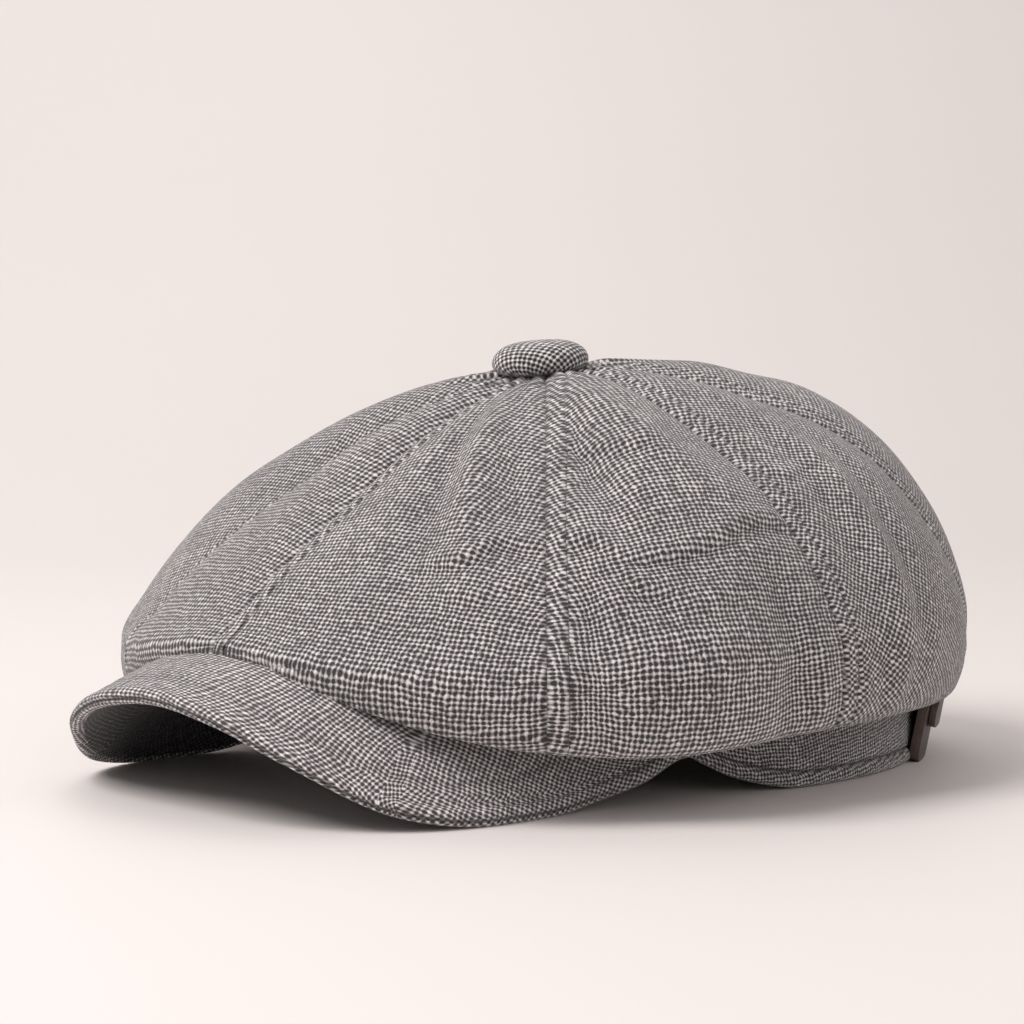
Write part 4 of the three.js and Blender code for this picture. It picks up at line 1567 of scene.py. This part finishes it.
@dataclass
class Peak:
    """The peak: stiffened cloth with a rolled, topstitched lip.

    The field lip_line gives angles, and how far out the crown's lip stands over the peak at each. The fields
    that end in share are places along its closed section.
    """

    maker: MeshMaker
    shape: PeakShape
    finishes: Finishes
    lip_line: tuple[np.ndarray, np.ndarray]
    columns: int = 240
    rows: int = 150
    lip_height: float = 5.0
    stitch_inset: float = 5.5
    top_share: float = 0.46
    nose_share: float = 0.56
    under_share: float = 0.96
    groove_share: float = 0.52
    groove_width: float = 0.008
    shaded_underside_share: float = 0.57
    lip_tuck: float = 1.2
    root_crowding: float = 1.3
    groove_depth: float = 0.8
    pucker_count: float = 95
    pucker_height: float = 0.15

    def section(self, angle: np.ndarray, share: np.ndarray) -> tuple:
        """Point of the peak's closed section.

        Args:
            angle: angles round the headband.
            share: from 0 at the root of the top, out to the lip, back under it and up to the root again.

        Returns:
            The points, and how much painted shade each takes in the stitch grooves.
        """
        shape = self.shape
        reach = shape.reach_at(angle)
        top_share, nose_share, under_share = self.top_share, self.nose_share, self.under_share
        nose = np.clip((share - top_share) / (nose_share - top_share), 0, 1)
        out = 1 - np.maximum(1 - share / top_share, 0) ** self.root_crowding
        back = np.clip((share - nose_share) / (under_share - nose_share), 0, 1)
        out = np.where(share > nose_share, 1 - back, out)
        thickness = shape.thickness + (self.lip_height - shape.thickness) * out
        root = shape.band.bottom(angle)
        bottom = root + out**shape.fall_power * (shape.lip_bottom(angle) - root)
        bottom = bottom + shape.swell * np.sin(np.pi * out)
        top = bottom + thickness
        nose_rise = 0.5 + 0.5 * np.cos(np.pi * nose)
        rise = np.where(share <= top_share, 1, np.where(share >= nose_share, 0, nose_rise))
        rise = np.where(share > under_share, (share - under_share) / (1 - under_share), rise)
        bulge = np.sin(np.pi * nose) * self.lip_height * 0.5
        from_lip = (1 - out) * reach
        fade = ramp(reach, 8, 20)
        groove = 0.4 * bump(from_lip - self.stitch_inset, 0.8) * (share <= top_share) * fade
        on_nose = (share > top_share) & (share < nose_share)
        nose_groove = bump(share - self.groove_share, self.groove_width) * on_nose * fade
        radius = shape.band.radius(angle, shape.root_gap) + reach * out
        radius = radius - self.lip_tuck * out + bulge - self.groove_depth * nose_groove
        height = bottom + rise * (top - bottom) - 0.6 * groove
        ripples = np.sin(np.radians(angle) * self.pucker_count)
        puckers = ripples * bump(from_lip - self.stitch_inset, 3.5) * (share <= top_share)
        point = shape.band.point(angle, radius, height + self.pucker_height * puckers * fade)
        return point, np.clip(0.7 * groove + 0.9 * nose_groove, 0, 1)

    def flat_pattern(self, angle: np.ndarray, share: np.ndarray) -> np.ndarray:
        """Guesses where the peak's cloth lay in the flat crescent that it was cut from.

        Args:
            angle: angles round the headband.
            share: places along the section.

        Returns:
            The flat places, in millimetres.
        """
        turns = np.linspace(-self.shape.half_span, self.shape.half_span, 241)
        ends = [self.section(turns, np.full_like(turns, place))[0] for place in (0.0, 0.3)]
        inner, outer = (running(np.linalg.norm(np.diff(row, axis=0), axis=1)) for row in ends)
        apart = np.mean(np.linalg.norm(ends[1] - ends[0], axis=1))
        spread = (outer[-1] - inner[-1]) / apart
        root_radius = inner[-1] / spread
        count = 200
        steps = np.linspace(0, 1, count + 1)
        rows = np.stack([self.section(turns, np.full_like(turns, place))[0] for place in steps])
        lengths = running(np.linalg.norm(np.diff(rows, axis=0), axis=2))
        column = np.interp(angle, turns, np.arange(len(turns)))
        low = np.clip(column.astype(int), 0, len(turns) - 2)
        row = np.clip((share * count).astype(int), 0, count - 1)
        ahead = share * count - row
        part = column - low
        near, far = (
            lengths[line, low] * (1 - part) + lengths[line, low + 1] * part for line in (row, row + 1)
        )
        out = near * (1 - ahead) + far * ahead
        turn = (np.interp(angle, turns, inner) - inner[-1] / 2) / root_radius
        reach = root_radius + out
        return np.stack([reach * np.sin(turn), -reach * np.cos(turn)], axis=-1)

    def covered(self, points: np.ndarray) -> np.ndarray:
        """Finds how far points of the peak lie in the shade under the crown's lip.

        Args:
            points: the points.

        Returns:
            The shade at each, from 0 to 1.
        """
        angle = np.degrees(np.arctan2(points[:, 0], -points[:, 1]))
        lip = np.interp(angle, *self.lip_line)
        return ramp(lip - np.hypot(points[:, 0], points[:, 1]), -0.5, 0.6)

    def build(self) -> list[bpy.types.Object]:
        """Builds the peak and its topstitching.

        Returns:
            The two pieces.
        """
        sheet, across, down = self.maker.grid(self.columns, self.rows)
        share = np.interp(down, (0, 0.3, 0.72, 1), (0, self.top_share - 0.03, self.nose_share + 0.02, 1))
        angle = (across - 0.5) * 2 * self.shape.half_span
        points, groove = self.section(angle, share)
        self.maker.place(sheet, points)
        guess = self.flat_pattern(angle, share)
        levels = ((9, 500), (5, 150))
        self.maker.lay_weave(sheet, self.maker.lay_flat(across, share, points, guess, levels))
        # Painted shade in the stitch grooves and on the peak's top under the crown's lip
        self.maker.mark(sheet, "groove", np.maximum(groove, self.covered(points) * (share <= self.top_share)))
        self.maker.mark(sheet, "rub", bump(share - 0.5, 0.06) * 0.35)
        # Faces past this share, on the underside, take the darker cloth painted as shade
        for face in sheet.faces:
            shares = sum(share[vertex.index] for vertex in face.verts) / len(face.verts)
            face.material_index = 1 if shares > self.shaded_underside_share else 0
        bmesh.ops.remove_doubles(sheet, verts=sheet.verts[:], dist=0.001 * MM)
        open_edges = [edge for edge in sheet.edges if edge.is_boundary]
        bmesh.ops.holes_fill(sheet, edges=open_edges, sides=0)
        bmesh.ops.recalc_face_normals(sheet, faces=sheet.faces[:])
        piece = self.maker.finish(
            sheet, "cloth_peak", Slot.CLOTH, [self.finishes.peak_cloth, self.finishes.painted_shade_under_cloth]
        )
        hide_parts("peak")
        threads = bmesh.new()
        turned = np.linspace(-0.74, 0.74, 400) * self.shape.half_span
        path, _ = self.section(turned, np.full_like(turned, self.groove_share))
        Stitching(self.maker).sew(threads, path, outward(turned))
        stitches = self.maker.finish(threads, "peak_stitches", Slot.CLOTH, [self.finishes.thread])
        return [piece, stitches]


@dataclass
class Headband:
    """The headband: a ring of doubled cloth with a stitched hem."""

    maker: MeshMaker
    shape: BandShape
    finishes: Finishes
    columns: int = 640
    rows: int = 72
    hem_height: float = 4.8
    hem_swell: float = 0.8
    hem_groove: float = 0.8
    corner_share: float = 0.8
    face_share: float = 0.5
    bottom_share: float = 0.56
    inside_share: float = 0.94

    def corner(self) -> float:
        """Height of the ring's rounded edges."""
        return self.shape.thickness / 2 * self.corner_share

    def section(self, angle: np.ndarray, share: np.ndarray) -> tuple:
        """Places points on the ring's closed section, from the top of its face down, under and up inside.

        Args:
            angle: angles round the ring.
            share: places along the section.

        Returns:
            The points, and how much painted shade each takes in the hem's groove.
        """
        half = self.shape.thickness / 2
        corner = self.corner()
        face, bottom, inside = self.face_share, self.bottom_share, self.inside_share
        down = np.clip(share / face, 0, 1)
        height = np.where(share < face, corner + (1 - down) * (self.shape.height - 2 * corner), corner)
        under = np.clip((share - face) / (bottom - face), 0, 1) * np.pi
        outset = np.where(share < face, 0.0, -half + half * np.cos(under))
        height = np.where((share >= face) & (share <= bottom), corner - corner * np.sin(under), height)
        up = np.clip((share - bottom) / (inside - bottom), 0, 1)
        rising = (share > bottom) & (share < inside)
        height = np.where(rising, corner + up * (self.shape.height - 2 * corner), height)
        over = np.clip((share - inside) / (1 - inside), 0, 1) * np.pi
        outset = np.where(share >= inside, -half - half * np.cos(over), outset)
        top = self.shape.height - corner + corner * np.sin(over)
        height = np.where(share >= inside, top, height)
        on_face = (share <= face).astype(float)
        groove = bump(height - self.hem_height, 0.55) * on_face
        hem = ramp(self.hem_height - height, 0.0, 1.2) * ramp(height, 0.4, 1.4) * on_face
        ripples = 0.3 * np.sin(np.radians(angle) * 9 + height * 0.15)
        wavy = ripples * np.sin(np.pi * height / self.shape.height)
        puckers = 0.12 * np.sin(np.radians(angle) * 110) * bump(height - self.hem_height, 3.0)
        outset = outset - self.hem_groove * groove + self.hem_swell * hem + (wavy + puckers) * on_face
        radius = self.shape.radius(angle, 0) + outset
        point = self.shape.point(angle, radius, self.shape.bottom(angle) + height)
        # The hem groove's share of painted shade
        return point, groove * 0.95

    def build(self) -> list[bpy.types.Object]:
        """Builds the ring and its hem stitches.

        Returns:
            The two pieces.
        """
        sheet, across, share = self.maker.grid(self.columns, self.rows)
        angle = 360 * across
        points, groove = self.section(angle, share)
        self.maker.place(sheet, points)
        girth = np.pi * (self.shape.head_length + self.shape.head_width) / 2
        weave = np.stack([across * girth, share * self.shape.height * 2], axis=-1)
        self.maker.lay_weave(sheet, weave)
        # Painted shade in the hem's groove
        self.maker.mark(sheet, "groove", groove)
        self.maker.mark(sheet, "rub", np.zeros(len(groove)))
        bmesh.ops.remove_doubles(sheet, verts=sheet.verts[:], dist=0.001 * MM)
        bmesh.ops.recalc_face_normals(sheet, faces=sheet.faces[:])
        piece = self.maker.finish(sheet, "cloth_headband", Slot.CLOTH, [self.finishes.band_cloth])
        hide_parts("headband")
        threads = bmesh.new()
        turned = np.linspace(62, 298, 900)
        corner = self.corner()
        place = self.face_share * (1 - (self.hem_height - corner) / (self.shape.height - 2 * corner))
        path, _ = self.section(turned, np.full_like(turned, place))
        Stitching(self.maker).sew(threads, path, outward(turned))
        stitches = self.maker.finish(threads, "band_stitches", Slot.CLOTH, [self.finishes.thread])
        return [piece, stitches]


@dataclass
class LeatherStrip:
    """A strip of leather with rounded corners and edges, lying on the rear of the headband."""

    maker: MeshMaker
    band: BandShape
    name: str
    node: str
    length: float
    bottom: float
    height: float
    clearance: float
    thickness: float
    corner: float
    lean: float = 4 / 20.5
    lean_from: float = 0.6
    columns: int = 140
    rows: int = 14
    edge: float = 0.5

    def build(self, leather: bpy.types.Material) -> bpy.types.Object:
        """Builds the strip: a sheet bent round the headband, thickened and bevelled.

        Args:
            leather: its material.

        Returns:
            The piece.
        """
        sheet, across, down = self.maker.grid(self.columns, self.rows)
        crowded = across - 0.8 * np.sin(2 * np.pi * across) / (2 * np.pi)
        from_end = self.length * np.minimum(crowded, 1 - crowded)
        inset = np.maximum(0, self.corner - from_end)
        cut = self.corner - np.sqrt(np.maximum(self.corner**2 - inset**2, 0))
        half_width, half_length = self.band.half_sizes(0)
        half_angle = math.degrees(self.length / (half_width + half_length))
        angle = 180 + (crowded - 0.5) * 2 * half_angle
        height = self.bottom + cut + (1 - down) * (self.height - 2 * cut)
        clearance = self.clearance + self.lean * (height - self.lean_from)
        points = self.band.point(angle, self.band.radius(angle, clearance), height)
        self.maker.place(sheet, points)
        border = np.minimum(np.minimum(down, 1 - down) * self.height, from_end)
        self.maker.mark(sheet, "rub", bump(border, 1.2))
        bmesh.ops.recalc_face_normals(sheet, faces=sheet.faces[:])
        middle = sheet.faces[len(sheet.faces) // 2]
        if middle.normal.y < 0:
            bmesh.ops.reverse_faces(sheet, faces=sheet.faces[:])
        piece = self.maker.finish(sheet, self.name, Slot.LEATHER, [leather])
        wall = piece.modifiers.new("thickness", "SOLIDIFY")
        wall.thickness = self.thickness * MM
        wall.offset = 1
        rounding = piece.modifiers.new("edge", "BEVEL")
        rounding.width = self.edge * MM
        rounding.segments = 3
        rounding.limit_method = "ANGLE"
        rounding.angle_limit = math.radians(50)
        settle(piece)
        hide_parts(self.node)
        return piece


@dataclass
class BackStrap:
    """The leather strap and its raised tab, with the tab's end stitches."""

    maker: MeshMaker
    band: BandShape
    finishes: Finishes
    gap: float = 0.3
    strap_length: float = 196
    strap_thickness: float = 3
    strap_clearance: float = 0.6
    strap_height: float = 20.5
    tab_height: float = 9
    tab_drop: float = 1.5
    tab_length: float = 190
    tab_thickness: float = 2

    def build(self) -> list[bpy.types.Object]:
        """Builds both strips and the stitches that hold the tab's ends.

        Returns:
            The three pieces.
        """
        strap = LeatherStrip(
            self.maker, self.band, "leather_strap", "back_strap", self.strap_length, self.strap_clearance,
            self.strap_height, self.gap, self.strap_thickness, 5,
        ).build(self.finishes.leather)
        tab_bottom = self.strap_clearance + self.strap_height - self.tab_drop - self.tab_height
        tab_clearance = self.gap + self.strap_thickness + self.gap
        tab = LeatherStrip(
            self.maker, self.band, "leather_tab", "strap_tab", self.tab_length, tab_bottom,
            self.tab_height, tab_clearance, self.tab_thickness, 4,
        ).build(self.finishes.leather)
        threads = bmesh.new()
        half_width, half_length = self.band.half_sizes(0)
        end_angle = math.degrees((self.tab_length - 7) / (half_width + half_length))
        stitching = Stitching(self.maker, length=1.7, pitch=2.3, width=0.7)
        for side in (-1, 1):
            heights = np.linspace(tab_bottom + 1.2, tab_bottom + self.tab_height - 1.2, 20)
            angle = np.full_like(heights, 180 + side * end_angle)
            lean = LeatherStrip.lean * (heights - self.strap_clearance)
            radius = self.band.radius(angle, tab_clearance + lean + self.tab_thickness)
            path = self.band.point(angle, radius, heights)
            stitching.sew(threads, path, outward(angle))
        stitches = self.maker.finish(threads, "strap_stitches", Slot.LEATHER, [self.finishes.strap_thread])
        return [strap, tab, stitches]


@dataclass
class Studio:
    """The pale floor, the soft light and the camera at the photograph's place."""

    axis: Vector
    camera_azimuth: float = 47
    camera_distance: float = 939 * MM
    camera_height: float = 140 * MM
    camera_pitch: float = 3.91
    focal_pixels: float = 3087
    axis_pixel: float = 547
    image_pixels: float = 1024
    sensor: float = 36
    floor_colour: tuple[float, float, float] = (0.88, 0.825, 0.805)
    floor_front: float = 12
    floor_back: float = 2.4
    floor_side: float = 3.0
    floor_flat: float = 0.75
    floor_bend: float = 0.9
    surround_colour: tuple[float, float, float, float] = (1.0, 0.965, 0.95, 1)
    surround_strength: float = 0.42

    def across(self, right: float, back: float, up: float) -> Vector:
        """Finds a place as the camera stands, in metres.

        Args:
            right: how far to the camera's right.
            back: how far behind the cap.
            up: how high above the floor.

        Returns:
            The place.
        """
        turn = math.radians(self.camera_azimuth)
        toward_right = Vector((math.cos(turn), math.sin(turn), 0))
        away = Vector((-math.sin(turn), math.cos(turn), 0))
        return self.axis + toward_right * right + away * back + Vector((0, 0, up))

    def camera(self) -> None:
        """Sets the camera on the photograph's side of the cap."""
        data = bpy.data.cameras.new("camera")
        data.sensor_width = self.sensor
        data.lens = self.focal_pixels * self.sensor / self.image_pixels
        camera = put_in_scene("camera", data)
        camera.location = self.across(0, -self.camera_distance, self.camera_height)
        aside = math.degrees(math.atan((self.axis_pixel - self.image_pixels / 2) / self.focal_pixels))
        camera.rotation_euler = (
            math.radians(90 - self.camera_pitch), 0, math.radians(self.camera_azimuth + aside)
        )
        bpy.context.scene.camera = camera

    def floor(self) -> None:
        """Lays the floor, which curves up into the backdrop far behind the cap."""
        sheet = bmesh.new()
        bmesh.ops.create_grid(sheet, x_segments=8, y_segments=60, size=1.0)
        for vertex in sheet.verts:
            run = vertex.co.y * (self.floor_back if vertex.co.y > 0 else self.floor_front)
            flat, bend = self.floor_flat, self.floor_bend
            past = max(0.0, run - flat)
            turn = min(past / bend, math.pi / 2)
            beyond = max(0.0, past - bend * math.pi / 2)
            back = min(run, flat) + bend * math.sin(turn)
            up = bend * (1 - math.cos(turn)) + beyond
            vertex.co = self.across(vertex.co.x * self.floor_side, back, up)
        bmesh.ops.recalc_face_normals(sheet, faces=sheet.faces[:])
        mesh = bpy.data.meshes.new("floor")
        sheet.to_mesh(mesh)
        sheet.free()
        mesh.shade_smooth()
        floor = put_in_scene("floor", mesh)
        material, nodes = new_material("pale_floor")
        place = nodes.add("TexCoord").outputs["Object"]
        patch = nodes.noise(place, 3.0, 3.0).outputs["Fac"]
        tone = nodes.mix(patch, (*self.floor_colour, 1), (*(c * 0.97 for c in self.floor_colour), 1))
        nodes.shade({"Base Color": tone, "Roughness": 0.6})
        mesh.materials.append(material)

    def area_light(self, name: str, place: Vector, size: float, power: float, colour: tuple) -> None:
        """Hangs a square soft light that faces the cap.

        Args:
            name: its name.
            place: where it hangs.
            size: the length of its sides.
            power: its power in watts.
            colour: its colour.
        """
        data = bpy.data.lights.new(name, "AREA")
        data.size = size
        data.energy = power
        data.color = colour
        light = put_in_scene(name, data)
        light.location = place
        aim = self.axis + Vector((0, 0, 0.05)) - place
        light.rotation_euler = aim.to_track_quat("-Z", "Y").to_euler()

    def light(self) -> None:
        """Lights the cap softly from the upper left, with a pale surround."""
        self.area_light("key", self.across(-0.9, -0.45, 1.3), 0.9, 19, (1.0, 0.975, 0.96))
        self.area_light("fill", self.across(1.3, -1.2, 0.9), 1.6, 7, (1.0, 0.97, 0.96))
        self.area_light("back", self.across(-0.4, 1.1, 1.3), 1.2, 5, (1.0, 0.97, 0.95))
        world = bpy.data.worlds.new("surround")
        world.use_nodes = True
        background = world.node_tree.nodes["Background"]
        background.inputs["Color"].default_value = self.surround_colour
        background.inputs["Strength"].default_value = self.surround_strength
        bpy.context.scene.world = world
        bpy.context.scene.view_settings.view_transform = "Standard"

    def build(self) -> None:
        """Sets up the camera, the floor and the lights."""
        self.camera()
        self.floor()
        self.light()


def main() -> None:
    """Builds the studio and each sub-assembly."""
    logging.basicConfig(level=logging.INFO, format="%(name)s: %(message)s")
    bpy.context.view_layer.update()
    low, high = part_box("headband")
    band = BandShape()
    axis = Vector(((low.x + high.x) / 2, (low.y + high.y) / 2 - band.setback * MM, 0))
    maker = MeshMaker(axis)
    peak = PeakShape(band)
    crown = CrownShape(band, peak)
    Studio(axis).build()
    finishes = Finishes()
    panels = Crown(maker, crown, finishes)
    panels.build()
    CoveredButton(maker, finishes).build()
    Peak(maker, peak, finishes, panels.lip_line()).build()
    Headband(maker, band, finishes).build()
    BackStrap(maker, band, finishes).build()
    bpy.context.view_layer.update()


if __name__ == "__main__":
    main()
